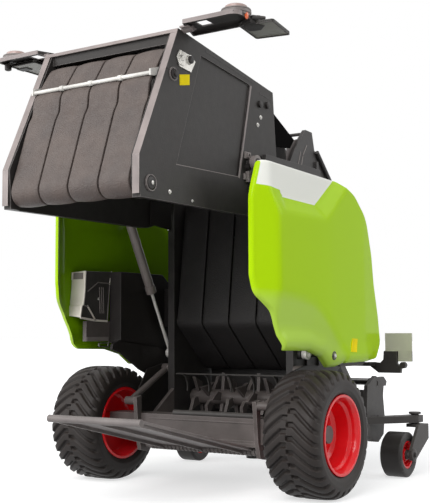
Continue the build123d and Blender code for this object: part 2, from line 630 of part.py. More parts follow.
# Gauge wheels on swivelling forks
for name, s in both_sides:
    with BuildPart() as caster:
        post(s * swivel_x, swivel_y, 14.8, 18.5, swivel_radius)
        post(s * swivel_x, swivel_y, 18.35, 19.0, 1.9)
        block(s * 37.6, s * 43.1, 57.4, 62.2, 14.4, 15.4)
        side_plate(s * 42.1, s * 43.1, [
            (62.2, 15.4), (62.2, 10.9), (51.2, 4.9), (48.6, 5.2), (48.4, 8.2), (54.4, 15.4)])
        cross_bar(s * 35.3, s * 42.1, gauge_y, gauge_radius, 1.0)
        cross_bar(s * 34.8, s * 35.3, gauge_y, gauge_radius, 1.6)
    save(caster, f"gauge_fork_{name}")
    with BuildPart() as tyre:
        wheel_profile([
            (-3.1, gauge_rim_radius), (-3.46, 5.0), (-3.46, 6.0), (-2.9, gauge_radius),
            (2.9, gauge_radius), (3.46, 6.0), (3.46, 5.0), (3.1, gauge_rim_radius),
        ], s * gauge_x, gauge_radius, s, gauge_y)
    save(tyre, f"gauge_tyre_{name}")
    with BuildPart() as rim:
        wheel_profile([
            (-3.0, gauge_rim_radius), (-3.0, 3.6), (-1.2, 3.2), (-1.2, 2.0), (-2.2, 1.8), (-2.2, 1.06),
            (2.6, 1.06), (2.6, 1.8), (1.2, 2.0), (1.2, 3.2), (3.0, 3.6), (3.0, gauge_rim_radius),
        ], s * gauge_x, gauge_radius, s, gauge_y)
    save(rim, f"gauge_rim_{name}")

# Front marker boards on cranked arms from the chamber
marker_y = 49.6
for name, s in both_sides:
    with BuildPart() as board:
        block(s * 34.4, s * 43.2, marker_y, marker_y + 0.6, 35.0, 43.7)
        with BuildSketch(Plane(origin=(0, marker_y, 0), x_dir=(1, 0, 0), z_dir=(0, -1, 0))) as bracket:
            with BuildLine():
                Polyline([(s * x, z) for x, z in (
                    (29.6, 33.6), (32.6, 31.5), (39.9, 31.5), (40.1, 33.0), (38.8, 34.4), (38.6, 38.3), (34.4, 38.3),
                    (34.2, 35.6), (33.2, 34.6), (29.6, 34.8))], close=True)
            make_face()
        extrude(bracket.sketch, amount=1.2)
        lengthwise_bar(s * 40.6, marker_y - 1.4, marker_y + 0.4, 33.9, 1.0)
        block(s * (wall_x + wall_thickness), s * 31.4, 44.8, 46.2, 33.6, 34.8)
        block(s * 29.6, s * 31.4, 44.8, marker_y, 33.6, 34.8)
    save(board, f"marker_board_{name}")

# Drawbar: an A-shaped plate, a cranked beam, the hitch eye and the jack's sleeve
with BuildPart() as drawbar:
    with BuildSketch(Plane.XY.offset(38.9)) as frame:
        with BuildLine():
            Polyline([(-21.0, 50.4), (-21.0, 55.0), (-4.4, 76.0), (4.4, 76.0), (21.0, 55.0), (21.0, 50.4)], close=True)
        make_face()
        with BuildLine():
            Polyline([(-15.0, 54.0), (0.0, 70.0), (15.0, 54.0)], close=True)
        make_face(mode=Mode.SUBTRACT)
    extrude(frame.sketch, amount=3.2)
    side_strip(-3.0, 3.0, [(71.0, 40.5), (76.0, 39.4), (96.0, 19.0), (102.0, hitch_z)], 3.0)
    block(-2.2, 2.2, 101.0, hitch_y, hitch_z - 1.1, hitch_z + 1.1)
    post(0, hitch_y, hitch_z - 1.1, hitch_z + 1.1, hitch_eye_outer)
    post(0, hitch_y, hitch_z - 1.2, hitch_z + 1.2, hitch_eye_bore, Mode.SUBTRACT)
    block(jack_x, -9.0, jack_y - 1.3, jack_y + 1.3, 39.2, 41.8)
    post(jack_x, jack_y, 30.0, 46.0, 2.0)
    post(jack_x, jack_y, 29.0, 47.0, jack_leg_radius + shaft_gap, Mode.SUBTRACT)
save(drawbar, "drawbar")

with BuildPart() as jack:
    post(jack_x, jack_y, 0.0, 0.9, 3.0)
    post(jack_x, jack_y, 0.6, 48.5, jack_leg_radius)
save(jack, "parking_jack")

# Gearbox with the input shaft and the housing that binds the bale
with BuildPart() as gearbox:
    block(-4.4, 4.4, 71.0, 78.0, 42.1, 49.0)
    lengthwise_bar(0, 78.0, 83.0, 45.6, 1.0)
save(gearbox, "gearbox")
with BuildPart() as binder:
    side_plate(-20.4, 20.4, [(51.2, 62.0), (60.0, 62.0), (61.5, 66.0), (60.5, 76.0), (56.0, 82.0), (46.9, 82.4)])
save(binder, "binding_box")
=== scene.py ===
import math

import bmesh
import bpy
import numpy as np
from mathutils import Matrix, Vector


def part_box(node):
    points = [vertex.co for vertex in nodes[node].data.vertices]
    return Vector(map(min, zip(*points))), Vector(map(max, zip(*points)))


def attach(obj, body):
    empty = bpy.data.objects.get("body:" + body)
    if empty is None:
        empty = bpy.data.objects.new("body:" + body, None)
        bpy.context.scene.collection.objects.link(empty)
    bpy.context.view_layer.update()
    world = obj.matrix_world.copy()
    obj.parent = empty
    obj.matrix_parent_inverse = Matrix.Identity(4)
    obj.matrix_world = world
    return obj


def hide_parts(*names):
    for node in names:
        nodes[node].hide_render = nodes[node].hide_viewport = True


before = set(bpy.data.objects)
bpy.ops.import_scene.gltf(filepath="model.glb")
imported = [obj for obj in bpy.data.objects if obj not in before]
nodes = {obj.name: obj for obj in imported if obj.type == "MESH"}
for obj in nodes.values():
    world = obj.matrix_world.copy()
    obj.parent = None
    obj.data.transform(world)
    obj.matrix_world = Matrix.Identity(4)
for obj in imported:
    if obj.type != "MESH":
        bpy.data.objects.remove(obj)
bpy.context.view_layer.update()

# A 1:32 display model of a round baler with its tailgate raised.
# Places are in millimetres from the point on the floor under the axle's middle, as on the drawing:
# X to the right, Y forward and Z up. at() turns them into the frame's metres.
MM = 0.001


def box_mm(node):
    """A node's lowest and highest corners in the frame, in millimetres."""
    low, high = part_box(node)
    return Vector(low) / MM, Vector(high) / MM


tyre_low, tyre_high = box_mm("tyre_right")
axle_y = (tyre_low.y + tyre_high.y) / 2
wheel_radius = (tyre_high.z - tyre_low.z) / 2
wheel_x = (tyre_low.x + tyre_high.x) / 2
sides = (("left", -1), ("right", 1))


def at(x, y, z):
    """A place on the drawing as a point of the frame."""
    return Vector((x, y + axle_y, z)) * MM


def linear(colour):
    """A hex colour in sRGB as linear RGBA."""
    parts = [int(colour[i:i + 2], 16) / 255 for i in (1, 3, 5)]
    return [p / 12.92 if p <= 0.04045 else ((p + 0.055) / 1.055) ** 2.4 for p in parts] + [1.0]


def darker(colour):
    """A hex colour at four fifths of its strength."""
    return "#{:02X}{:02X}{:02X}".format(*(int(int(colour[i:i + 2], 16) * 0.8) for i in (1, 3, 5)))


# Shader nodes

def set_inputs(tree, node, values):
    """Gives a node's inputs their numbers, hex colours or other nodes' outputs."""
    for label, value in values.items():
        if isinstance(value, bpy.types.NodeSocket):
            tree.links.new(value, node.inputs[label])
        else:
            node.inputs[label].default_value = linear(value) if isinstance(value, str) else value


def add_node(tree, kind, inputs=(), **settings):
    """A new shader node with its settings and its inputs."""
    node = tree.nodes.new("ShaderNode" + kind)
    for label, value in settings.items():
        setattr(node, label, value)
    set_inputs(tree, node, dict(inputs))
    return node


def calculate(tree, operation, *values, clamp=False):
    """The result of a Math node."""
    return add_node(tree, "Math", enumerate(values), operation=operation, use_clamp=clamp).outputs[0]


def times(tree, first, second, clamp=False):
    return calculate(tree, "MULTIPLY", first, second, clamp=clamp)


def object_place(tree):
    return add_node(tree, "TexCoord").outputs["Object"]


def noise(tree, scale, detail=3.0, rough=0.55):
    """A noise in the object's own space."""
    values = {"Vector": object_place(tree), "Scale": scale, "Detail": detail, "Roughness": rough}
    return add_node(tree, "TexNoise", values).outputs["Fac"]


def new_group(name, inputs, outputs):
    """An empty group of number sockets: the group, its inputs' sockets inside and its output node."""
    group = bpy.data.node_groups.new(name, "ShaderNodeTree")
    for label, default in inputs.items():
        socket = group.interface.new_socket(name=label, in_out="INPUT", socket_type="NodeSocketFloat")
        socket.default_value = default
    for label in outputs:
        group.interface.new_socket(name=label, in_out="OUTPUT", socket_type="NodeSocketFloat")
    return group, group.nodes.new("NodeGroupInput").outputs, group.nodes.new("NodeGroupOutput")


def make_cast_grain():
    """The fine pitted skin of a cast or moulded part, with a slow mottle."""
    group, into, out = new_group("cast_grain", {"Scale": 2500.0, "Pits": 0.4}, ["Height", "Mottle"])
    pits = add_node(group, "TexVoronoi", {"Vector": object_place(group), "Scale": into["Scale"]})
    pit_part = times(group, pits.outputs["Distance"], into["Pits"])
    height = calculate(group, "ADD", noise(group, into["Scale"], 4.0, 0.6), pit_part)
    slow = noise(group, times(group, into["Scale"], 0.06), 2.0, 0.5)
    set_inputs(group, out, {"Height": height, "Mottle": slow})
    return group


def make_rubbed_edges():
    """A mask that is 1 on edges where handling has rubbed the finish."""
    group, into, out = new_group("rubbed_edges", {"Width": 0.0003, "Reach": 3.0}, ["Mask"])
    rounded = add_node(group, "Bevel", {"Radius": into["Width"]}, samples=4).outputs["Normal"]
    plain = add_node(group, "NewGeometry").outputs["Normal"]
    dot = add_node(group, "VectorMath", {0: rounded, 1: plain}, operation="DOT_PRODUCT")
    turn = calculate(group, "SUBTRACT", 1.0, dot.outputs["Value"])
    broken = times(group, turn, noise(group, 700.0, 4.0, 0.7))
    set_inputs(group, out, {"Mask": times(group, broken, into["Reach"], clamp=True)})
    return group


def make_settled_dust():
    """A mask for the pale dust that lies on faces that look up."""
    group, into, out = new_group("settled_dust", {"Amount": 0.3, "Scale": 400.0}, ["Mask"])
    split = add_node(group, "SeparateXYZ", {0: add_node(group, "NewGeometry").outputs["Normal"]})
    upward = calculate(group, "MULTIPLY_ADD", split.outputs["Z"], 0.5, 0.5, clamp=True)
    spread = times(group, upward, noise(group, into["Scale"], 5.0, 0.65))
    set_inputs(group, out, {"Mask": times(group, spread, into["Amount"], clamp=True)})
    return group


cast_grain = make_cast_grain()
rubbed_edges = make_rubbed_edges()
settled_dust = make_settled_dust()


# Materials. Colours are as they look on the model, in sRGB.

def mix_colour(tree, factor, first, second):
    return add_node(tree, "Mix", {"Factor": factor, 6: first, 7: second}, data_type="RGBA").outputs[2]


def spread_value(tree, factor, low, high):
    """A mask stretched to run from low to high."""
    return add_node(tree, "MapRange", {"Value": factor, "To Min": low, "To Max": high}).outputs["Result"]


finishes = {}


def make_finish(name, colour, dark=None, edge=None, rough=(0.35, 0.5), metal=0.0, grain=2500.0, pits=0.4,
                bump=0.00004, wear=0.6, dust=0.1, dust_colour="#A9A29B", coat=0.0, gloss=0.3, paint=None):
    """A finish with its mottle, rubbed edges, dust and skin. paint, if given, makes the colour instead."""
    material = bpy.data.materials.new(name)
    material.use_nodes = True
    tree = material.node_tree
    skin = add_node(tree, "Group", {"Scale": grain, "Pits": pits}, node_tree=cast_grain).outputs
    rub = add_node(tree, "Group", {"Width": 0.00025, "Reach": wear * 5}, node_tree=rubbed_edges).outputs
    lying = add_node(tree, "Group", {"Amount": dust, "Scale": 420.0}, node_tree=settled_dust).outputs
    if paint:
        toned = paint(tree)
    else:
        mottle = spread_value(tree, skin["Mottle"], -0.4, 1.4)
        toned = mix_colour(tree, mottle, dark or darker(colour), colour)
    rubbed = mix_colour(tree, rub["Mask"], toned, edge or colour)
    raised = add_node(tree, "Bump", {"Distance": bump, "Strength": 0.6, "Height": skin["Height"]})
    set_inputs(tree, tree.nodes["Principled BSDF"], {
        "Base Color": mix_colour(tree, lying["Mask"], rubbed, dust_colour),
        "Roughness": spread_value(tree, skin["Mottle"], rough[0], rough[1]), "Metallic": metal,
        "Specular IOR Level": gloss, "Coat Weight": coat, "Coat Roughness": 0.08,
        "Normal": raised.outputs["Normal"]})
    finishes[name] = material


def side_mask(tree, edges, soft):
    """1 inside a convex outline given in the drawing's (Y, Z), from its edges taken anticlockwise."""
    spot = add_node(tree, "SeparateXYZ", {0: object_place(tree)}).outputs
    inside = None
    for (y0, z0), (y1, z1) in edges:
        across = Vector((z0 - z1, y1 - y0)).normalized()
        offset = across.x * (y0 + axle_y) + across.y * z0
        along_y = times(tree, spot["Y"], across.x / (MM * soft))
        along_z = times(tree, spot["Z"], across.y / (MM * soft))
        total = calculate(tree, "ADD", along_y, along_z)
        near = calculate(tree, "SUBTRACT", total, offset / soft, clamp=True)
        inside = near if inside is None else times(tree, inside, near)
    return inside


def painted_shade_inside(tree):
    """1 on faces that look towards the machine's middle, where the hood gets a deeper green of painted shade.
    """
    spot = add_node(tree, "SeparateXYZ", {0: object_place(tree)})
    way = add_node(tree, "SeparateXYZ", {0: add_node(tree, "NewGeometry").outputs["True Normal"]})
    side = calculate(tree, "SIGN", spot.outputs["X"])
    across = times(tree, side, way.outputs["X"])
    return times(tree, across, -4.0, clamp=True)


hood_green = "#ABD408"
tuck_crease = [(-21.0, 55.2), (-6.3, 54.2), (0.8, 52.5), (6.5, 49.1), (12.3, 44.1), (17.4, 39.0)]  # (y, z)


def hood_paint(tree):
    """Green all over, paler on the tuck as a painted reflection, deeper inside as painted shade, with the
    white field at the hood's upper rear.
    """
    mottle = spread_value(tree, noise(tree, 30.0, 2.0), 0.0, 0.35)
    green = mix_colour(tree, mottle, hood_green, "#A2CB08")
    back_along = tuck_crease[::-1]
    # Below its crease the tuck turns a paler, greyer green: a painted reflection.
    tuck_reflection = side_mask(tree, zip(back_along, back_along[1:]), 3.0)
    pale = mix_colour(tree, spread_value(tree, tuck_reflection, 0.0, 0.4), green, "#B6D072")
    upper_edges = [((-24.2, 90.0), (-25.9, 81.5)), ((-25.9, 81.5), (-17.3, 80.7)),
                   ((-16.9, 79.0), (-16.9, 92.0))]
    lower_edges = [((-17.6, 80.9), (-16.2, 79.0)), ((-16.2, 79.0), (1.5, 78.6)), ((1.5, 78.6), (13.6, 87.3))]
    field = calculate(tree, "MAXIMUM", side_mask(tree, upper_edges, 0.15), side_mask(tree, lower_edges, 0.15))
    outside = mix_colour(tree, field, pale, "#ECECE4")
    # Faces that look inwards turn a deeper green: painted shade.
    return mix_colour(tree, painted_shade_inside(tree), outside, "#719D05")


def marker_paint(tree):
    """A pale board above its black bracket."""
    board = side_mask(tree, [((60.0, 38.2), (40.0, 38.2))], 0.1)
    pale = mix_colour(tree, noise(tree, 60.0, 2.0), "#A9A598", "#BDC1A6")
    return mix_colour(tree, board, pale, "#262322")


make_finish(
    "hood_gloss_green", hood_green, rough=(0.16, 0.22), grain=900.0, pits=0.05, bump=0.00001, wear=0.0,
    dust=0.0, gloss=0.07, paint=hood_paint)
make_finish("gate_satin_grey", "#292625", edge="#8A8482", rough=(0.38, 0.52), wear=0.9, gloss=0.2)
make_finish("chamber_black", "#2A2727", edge="#6A6462", rough=(0.40, 0.58), dust=0.12)
make_finish(
    "belt_rubber", "#50443F", dark="#3E3533", edge="#8F827D", rough=(0.42, 0.55), grain=2600.0, pits=1.2,
    bump=0.00016, wear=0.3, dust=0.25)
# A darker copy of the belt rubber for the belts inside the chamber: painted shade.
make_finish(
    "shaded_belt_rubber", "#211E1E", dark="#151313", rough=(0.5, 0.65), grain=2600.0, pits=1.0,
    bump=0.00010, wear=0.1, dust=0.05)
make_finish(
    "tyre_rubber", "#262221", dark="#1C1918", edge="#4E4643", rough=(0.42, 0.6), grain=1800.0, pits=0.3,
    bump=0.00003, wear=0.5, dust=0.2, dust_colour="#57493F", gloss=0.22)
make_finish(
    "rim_gloss_red", "#FF1420", dark="#B00A14", rough=(0.18, 0.28), grain=800.0, pits=0.05, bump=0.00001,
    wear=0.1, dust=0.05, coat=0.15)
make_finish("ramp_grey", "#77706E", edge="#A8A09D", rough=(0.42, 0.55), wear=0.8, dust=0.2)
make_finish(
    "bright_metal", "#B9B7B2", dark="#8F8D88", edge="#E8E6E2", rough=(0.22, 0.38), metal=0.9, grain=1500.0,
    wear=0.8, dust=0.05)
make_finish("white_enamel", "#E9E6E0", rough=(0.3, 0.4), wear=0.1, dust=0.05, bump=0.00001)
make_finish("board_plate", "#8A8C7C", wear=0.3, paint=marker_paint)
make_finish("dark_plastic", "#353231", edge="#6F6A68", rough=(0.42, 0.58), dust=0.15)
make_finish("orange_reflector", "#F0641E", rough=(0.12, 0.2), wear=0.0, dust=0.0, coat=0.8)
make_finish("yellow_plate", "#FFE600", rough=(0.35, 0.45), wear=0.0, dust=0.0, bump=0.00001, gloss=0.05)
make_finish("smoked_lens", "#B39A93", rough=(0.25, 0.35), wear=0.1, dust=0.0, gloss=0.4)
make_finish("roller_steel", "#3A3736", edge="#8A8482", rough=(0.3, 0.42), metal=0.3, wear=0.8, dust=0.05)
# The pale flange and pale edge greys are painted highlights on edges that face the light. Pale edge also
# colours the carriers' roots.
make_finish("painted_highlight_flange", "#988D8A", edge="#B9AFAB", rough=(0.3, 0.42))
make_finish("pale_edge", "#8C8280", edge="#A59C99", rough=(0.35, 0.48), wear=0.5)
make_finish("board_underside", "#8B8A83", dark="#75746E", rough=(0.35, 0.45), wear=0.2, dust=0.0)
# A near-black for the plate by the front cover's nose, where the belts lie in shade: painted shade.
make_finish("painted_shade_black", "#0C0B0B", rough=(0.8, 0.9), wear=0.0, dust=0.0, gloss=0.02)
make_finish("board_pale", "#B3B39F", wear=0.2)
make_finish("lamp_base", "#857D7A", wear=0.4)
make_finish("deep_black", "#24201F", dark="#1B1817", edge="#3A3634", rough=(0.4, 0.55), wear=0.3, dust=0.03)
make_finish(
    "cast_silver", "#EDE5DA", dark="#CDC5BA", edge="#F0EDE8", rough=(0.28, 0.4), metal=0.15, grain=2600.0,
    dust=0.0)
make_finish("barrel_grey", "#8A817E", dark="#786F6C", edge="#8A8482", rough=(0.25, 0.35), wear=0.3, dust=0.05)
make_finish("polished_rod", "#F2EEE8", dark="#DAD6D0", rough=(0.15, 0.25), metal=0.1, wear=0.1, dust=0.0)
make_finish("arm_grey", "#5C5452", edge="#A59D9A", wear=0.8)

node_finishes = {
    "hood": "hood_gloss_green", "tyre": "tyre_rubber", "gauge_tyre": "deep_black", "rim": "rim_gloss_red",
    "gauge_rim": "rim_gloss_red", "tailgate_shell": "gate_satin_grey", "tailgate_belts": "belt_rubber",
    "front_belts": "shaded_belt_rubber", "chamber_wall": "chamber_black", "belt_guide_rod": "white_enamel",
    "bale_ramp": "ramp_grey", "gate_rod": "polished_rod", "gate_barrel": "barrel_grey",
    "valve_cover": "deep_black", "valve_housing": "deep_black", "marker_board": "board_plate",
    "rear_lamp": "smoked_lens", "lamp_carrier": "gate_satin_grey", "ramp_hanger": "arm_grey",
    "axle": "arm_grey", "feed_rotor": "arm_grey",
}


# Every CAD node: a rounded edge and its own finish

eased_angle = math.radians(35)


def ease_edges(thing, width):
    """Rounds the edges of a node or piece by width millimetres with a modifier, its mesh untouched."""
    eased = thing.modifiers.new("eased", "BEVEL")
    eased.width = width * MM
    eased.segments = 2
    eased.limit_method = "ANGLE"
    eased.angle_limit = eased_angle
    eased.harden_normals = True


for name, node in nodes.items():
    stem = name.removesuffix("_left").removesuffix("_right")
    node.data.materials.clear()
    node.data.materials.append(finishes[node_finishes.get(stem, "dark_plastic")])
    weld = node.modifiers.new("joined", "WELD")
    weld.merge_threshold = 0.000002
    flat = node.modifiers.new("flat", "DECIMATE")
    flat.decimate_type = "DISSOLVE"
    flat.angle_limit = math.radians(1.2)
    ease_edges(node, 0.35 if stem == "hood" else 0.12)
    even = node.modifiers.new("even", "WEIGHTED_NORMAL")
    even.keep_sharp = False


# Meshes of the added pieces: lists of points in the drawing's millimetres, and faces

rightwards = (1, 0, 0)
upwards = (0, 0, 1)


def joined(*meshes):
    """Several meshes as one."""
    points, faces = [], []
    for more_points, more_faces in meshes:
        start = len(points)
        points += list(more_points)
        faces += [tuple(start + i for i in face) for face in more_faces]
    return points, faces


def skinned(rings, hole=False):
    """A mesh over closed rings of points. Its ends are closed, or joined with each other round a hole."""
    rows, width = len(rings), len(rings[0])
    points = [tuple(p) for ring in rings for p in ring]
    faces = []
    for row in range(rows if hole else rows - 1):
        here, after = row * width, (row + 1) % rows * width
        for k in range(width):
            beside = (k + 1) % width
            faces.append((here + k, here + beside, after + beside, after + k))
    if not hole:
        faces += [tuple(range(width)), tuple(range((rows - 1) * width, rows * width))]
    return points, faces


def prism(outline, x0, x1):
    """A plate between x0 and x1 with its outline in (Y, Z)."""
    return skinned([[(x, y, z) for y, z in outline] for x in (x0, x1)])


def brick(x0, x1, y0, y1, z0, z1):
    return prism([(y0, z0), (y1, z0), (y1, z1), (y0, z1)], x0, x1)


def slab(outline, z0, z1):
    """A plate between z0 and z1 with its outline in (X, Y)."""
    return skinned([[(x, y, z) for x, y in outline] for z in (z0, z1)])


def strip(line, width, x0, x1):
    """A flat band between x0 and x1 along a line of (Y, Z)."""
    parts = []
    for start, end in zip(line, line[1:]):
        start, end = Vector(start), Vector(end)
        ahead = (end - start).normalized() * width / 2
        aside = Vector((ahead.y, -ahead.x))
        start, end = start - ahead, end + ahead
        parts.append(prism([start + aside, end + aside, end - aside, start - aside], x0, x1))
    return joined(*parts)


def circle(centre, across, third, radius, steps):
    """Points round a centre in the plane of two directions."""
    turns = [2 * math.pi * k / steps for k in range(steps)]
    return [centre + (across * math.cos(t) + third * math.sin(t)) * radius for t in turns]


def turned(profile, origin, axis=rightwards, steps=36, hole=False):
    """A lathe form from (along, radius) pairs about an axis through origin."""
    axis = Vector(axis).normalized()
    across = axis.orthogonal().normalized()
    third = axis.cross(across)
    origin = Vector(origin)
    return skinned([circle(origin + axis * along, across, third, radius, steps)
                    for along, radius in profile], hole)


def ring_of(profile, origin, steps=48):
    """A lathe form that looks right and whose profile closes on itself round a hole."""
    return turned(profile, origin, steps=steps, hole=True)


def collar(origin, height, inner, outer, foot):
    """A raised ring that looks right. foot is its outer radius on the face."""
    return ring_of([(0, inner), (height, inner), (height, outer), (0, foot)], origin)


def bolt(origin, radius, height=0.35):
    """A hexagon head on its washer, looking right."""
    washer_profile = [(0, radius * 1.45), (height * 0.25, radius * 1.45), (height * 0.32, radius * 1.3)]
    washer = turned(washer_profile, origin, steps=24)
    head = turned([(height * 0.3, radius), (height * 0.85, radius), (height, radius * 0.82)], origin, steps=6)
    return joined(washer, head)


def tube(line, radius, steps=12):
    """A round rod along a line of points."""
    line = [Vector(p) for p in line]
    across = (line[1] - line[0]).orthogonal().normalized()
    rings = []
    for i, place in enumerate(line):
        way = (line[min(i + 1, len(line) - 1)] - line[max(i - 1, 0)]).normalized()
        across = (across - way * across.dot(way)).normalized()
        rings.append(circle(place, across, way.cross(across), radius, steps))
    return skinned(rings)


def add_piece(name, mesh_parts, finish, body, stands_for=(), bevel=0.0, sharp=35):
    """A new piece with the finish of that name that rides on a body. bevel millimetres ease its edges."""
    points, faces = mesh_parts
    mesh = bpy.data.meshes.new(name)
    mesh.from_pydata([at(*p) for p in points], [], faces)
    form = bmesh.new()
    form.from_mesh(mesh)
    bmesh.ops.remove_doubles(form, verts=form.verts, dist=0.000001)
    bmesh.ops.recalc_face_normals(form, faces=form.faces)
    form.to_mesh(mesh)
    form.free()
    mesh.shade_smooth()
    mesh.set_sharp_from_angle(angle=math.radians(sharp))
    mesh.materials.append(finishes[finish])
    piece = bpy.data.objects.new(name, mesh)
    bpy.context.scene.collection.objects.link(piece)
    if bevel:
        ease_edges(piece, bevel)
    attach(piece, body)
    if stands_for:
        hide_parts(*stands_for)


def add_pair(stem, mesh_parts, finish, body, stands_for=(), **easing):
    """The same piece on both sides, from the right-hand one. {} in a body's or node's name is the side."""
    points, faces = mesh_parts
    for name, s in sides:
        mirrored = [(s * x, y, z) for x, y, z in points]
        stood_for = [node.format(name) for node in stands_for]
        add_piece(f"{stem}_{name}", (mirrored, faces), finish, body.format(name), stood_for, **easing)


# Tyres: moulded casing with two rows of bent lugs

half_section = [  # (outwards, radius)
    (4.0, 16.95), (6.0, 16.7), (7.2, 16.1), (7.85, 15.2), (8.15, 14.2), (8.2, 13.2), (8.1, 12.2), (7.7, 11.0),
    (7.3, 10.7)]
tyre_section = [(-x, radius) for x, radius in reversed(half_section)] + [(0.0, 17.0)] + half_section
lug_count = 30
lug_width = 2.3
lug_slant = 0.857
lug_shift = -2.05
centre_half = 1.7
groove_depth = 0.8
shoulder_radius = 14.3
wall_rings = ((0.10, 12.1, 0.22), (0.07, 13.6, 0.16))  # (height, radius, spread)


def tyre_mesh(x, turns=600, section_steps=86):
    """The skin of a road tyre round the axle at x."""
    section = np.array(tyre_section)
    run = np.concatenate([[0], np.cumsum(np.hypot(*np.diff(section, axis=0).T))])
    where = np.linspace(0, run[-1], section_steps)
    across = np.interp(where, run, section[:, 0])
    radius = np.interp(where, run, section[:, 1])
    for _ in range(3):
        across[1:-1] = (across[:-2] + 2 * across[1:-1] + across[2:]) / 4
        radius[1:-1] = (radius[:-2] + 2 * radius[1:-1] + radius[2:]) / 4
    slope_x, slope_r = np.gradient(across), np.gradient(radius)
    size = np.hypot(slope_x, slope_r)
    out_x, out_r = -slope_r / size, slope_x / size
    turn = np.linspace(0, 2 * np.pi, turns, endpoint=False)[:, None]
    row = np.where(across >= 0, 1, -1)[None, :]
    reach = np.abs(across)[None, :]
    pitch = 2 * np.pi * wheel_radius / lug_count
    middle = lug_shift + lug_slant * np.maximum(reach - centre_half, 0)
    along = turn * wheel_radius - middle - np.where(row > 0, 0, pitch / 2)
    off = np.abs((along + pitch / 2) % pitch - pitch / 2)
    lug = np.clip((lug_width / 2 - off) / 0.3 + 0.5, 0, 1)
    lug = lug * lug * (3 - 2 * lug)
    shoulder = np.clip((radius - shoulder_radius) / 1.3, 0, 1)[None, :]
    sink = groove_depth * (1 - lug) * shoulder
    rings = sum(high * np.exp(-((radius - place) / spread) ** 2) for high, place, spread in wall_rings)
    lift = rings[None, :] - sink
    px = across[None, :] + out_x[None, :] * lift
    pr = radius[None, :] + out_r[None, :] * lift
    points = np.stack([x + px, pr * np.cos(turn), wheel_radius + pr * np.sin(turn)], axis=-1).reshape(-1, 3)
    ring = np.arange(turns)[:, None] * section_steps + np.arange(section_steps)[None, :]
    following = np.roll(ring, -1, axis=0)
    faces = np.stack([ring, following, np.roll(following, -1, axis=1), np.roll(ring, -1, axis=1)], axis=-1)
    return points.tolist(), faces.reshape(-1, 4).tolist()


for name, s in sides:
    add_piece(f"tyre_tread_{name}", tyre_mesh(s * abs(wheel_x)), "tyre_rubber", f"wheel_{name}",
              stands_for=[f"tyre_{name}"], sharp=60)


# Belts: four crowned bands round each set of rollers

belt_centres = [(i - 1.5) * 9.6 for i in range(4)]
belt_width = 9.1
belt_height = 0.72
gate_rollers = [  # (y, z, radius)
    (-55.4, 79.8, 2.9), (-47.6, 104.0, 2.6), (-42.9, 111.8, 2.2), (-10.0, 107.2, 2.2)]
front_rollers = [
    (15.9, 47.6, 2.0), (29.8, 35.2, 2.0), (45.5, 56.0, 2.2), (43.5, 74.0, 2.2), (34.0, 88.0, 2.2),
    (20.4, 82.0, 2.2)]


def belt_line(rollers, ends=()):
    """The closed line of a belt round rollers taken anticlockwise. It turns right round an end roller."""
    count = len(rollers)
    outwards = []
    for i in range(count):
        (y0, z0, r0), (y1, z1, r1) = rollers[i], rollers[(i + 1) % count]
        gap = math.hypot(y1 - y0, z1 - z0)
        way = Vector(((y1 - y0) / gap, (z1 - z0) / gap))
        lean = (r0 - r1) / gap
        outwards.append(Vector((way.y, -way.x)) * math.sqrt(1 - lean * lean) + way * lean)
    line = []
    for i in range(count):
        y, z, radius = rollers[i]
        before, after = outwards[i - 1], outwards[i]
        turn = math.atan2(before.x * after.y - before.y * after.x, before.dot(after))
        if i in ends and turn < 0:
            turn += 2 * math.pi
        start = math.atan2(before.y, before.x)
        if turn > 0:
            steps = max(2, int(turn / 0.12))
            for k in range(steps + 1):
                angle = start + turn * k / steps
                line.append(Vector((y + radius * math.cos(angle), z + radius * math.sin(angle))))
        else:
            middle = (before + after).normalized()
            line.append(Vector((y, z)) + middle * (radius / middle.dot(before)))
    return line


def even_line(line, step):
    """A closed line in even steps, a little softened."""
    closed = np.array([tuple(p) for p in line] + [tuple(line[0])])
    run = np.concatenate([[0], np.cumsum(np.hypot(*np.diff(closed, axis=0).T))])
    where = np.linspace(0, run[-1], int(run[-1] / step), endpoint=False)
    even = np.stack([np.interp(where, run, closed[:, 0]), np.interp(where, run, closed[:, 1])], axis=1)
    for _ in range(2):
        even = (np.roll(even, 1, axis=0) + 2 * even + np.roll(even, -1, axis=0)) / 4
    return even


def band_mesh(line, centre, crown, swell=None):
    """One belt on a closed line, rounded at its edges, crowned and moved outwards by swell(y, z, out)."""
    half = belt_width / 2
    edge = [(half - 0.8, belt_height), (half - 0.25, 0.70), (half - 0.07, 0.60), (half, 0.42), (half, 0.0)]
    section = [(-x, h) for x, h in reversed(edge)]
    section += [(half * k / 5, belt_height + crown * (1 - (k / 5) ** 2)) for k in range(-3, 4)]
    section += edge
    ahead = np.roll(line, -1, axis=0) - np.roll(line, 1, axis=0)
    ahead /= np.hypot(ahead[:, 0], ahead[:, 1])[:, None]
    out = np.stack([ahead[:, 1], -ahead[:, 0]], axis=1)
    rings = []
    for (y, z), normal in zip(line, out):
        grow = swell(y, z, normal) if swell else 0.0
        rings.append([(centre + x, y + normal[0] * (h + grow), z + normal[1] * (h + grow))
                      for x, h in section])
    return skinned(rings, hole=True)


def gate_belt_swell(y, z, out):
    """The belts stand out over the second roller and draw in just below it."""
    if out[0] > -0.3:
        return 0.0
    return 0.22 * math.exp(-((z - 104.4) / 1.5) ** 2) - 0.5 * math.exp(-((z - 100.6) / 1.8) ** 2)


def roller_mesh(y, z, radius, half):
    """A roller with turned-down ends."""
    profile = [(-half, 0.7), (-half, radius * 0.8), (-half + 0.3, radius)]
    profile += [(-along, out) for along, out in reversed(profile)]
    return turned(profile, (0, y, z), steps=48)


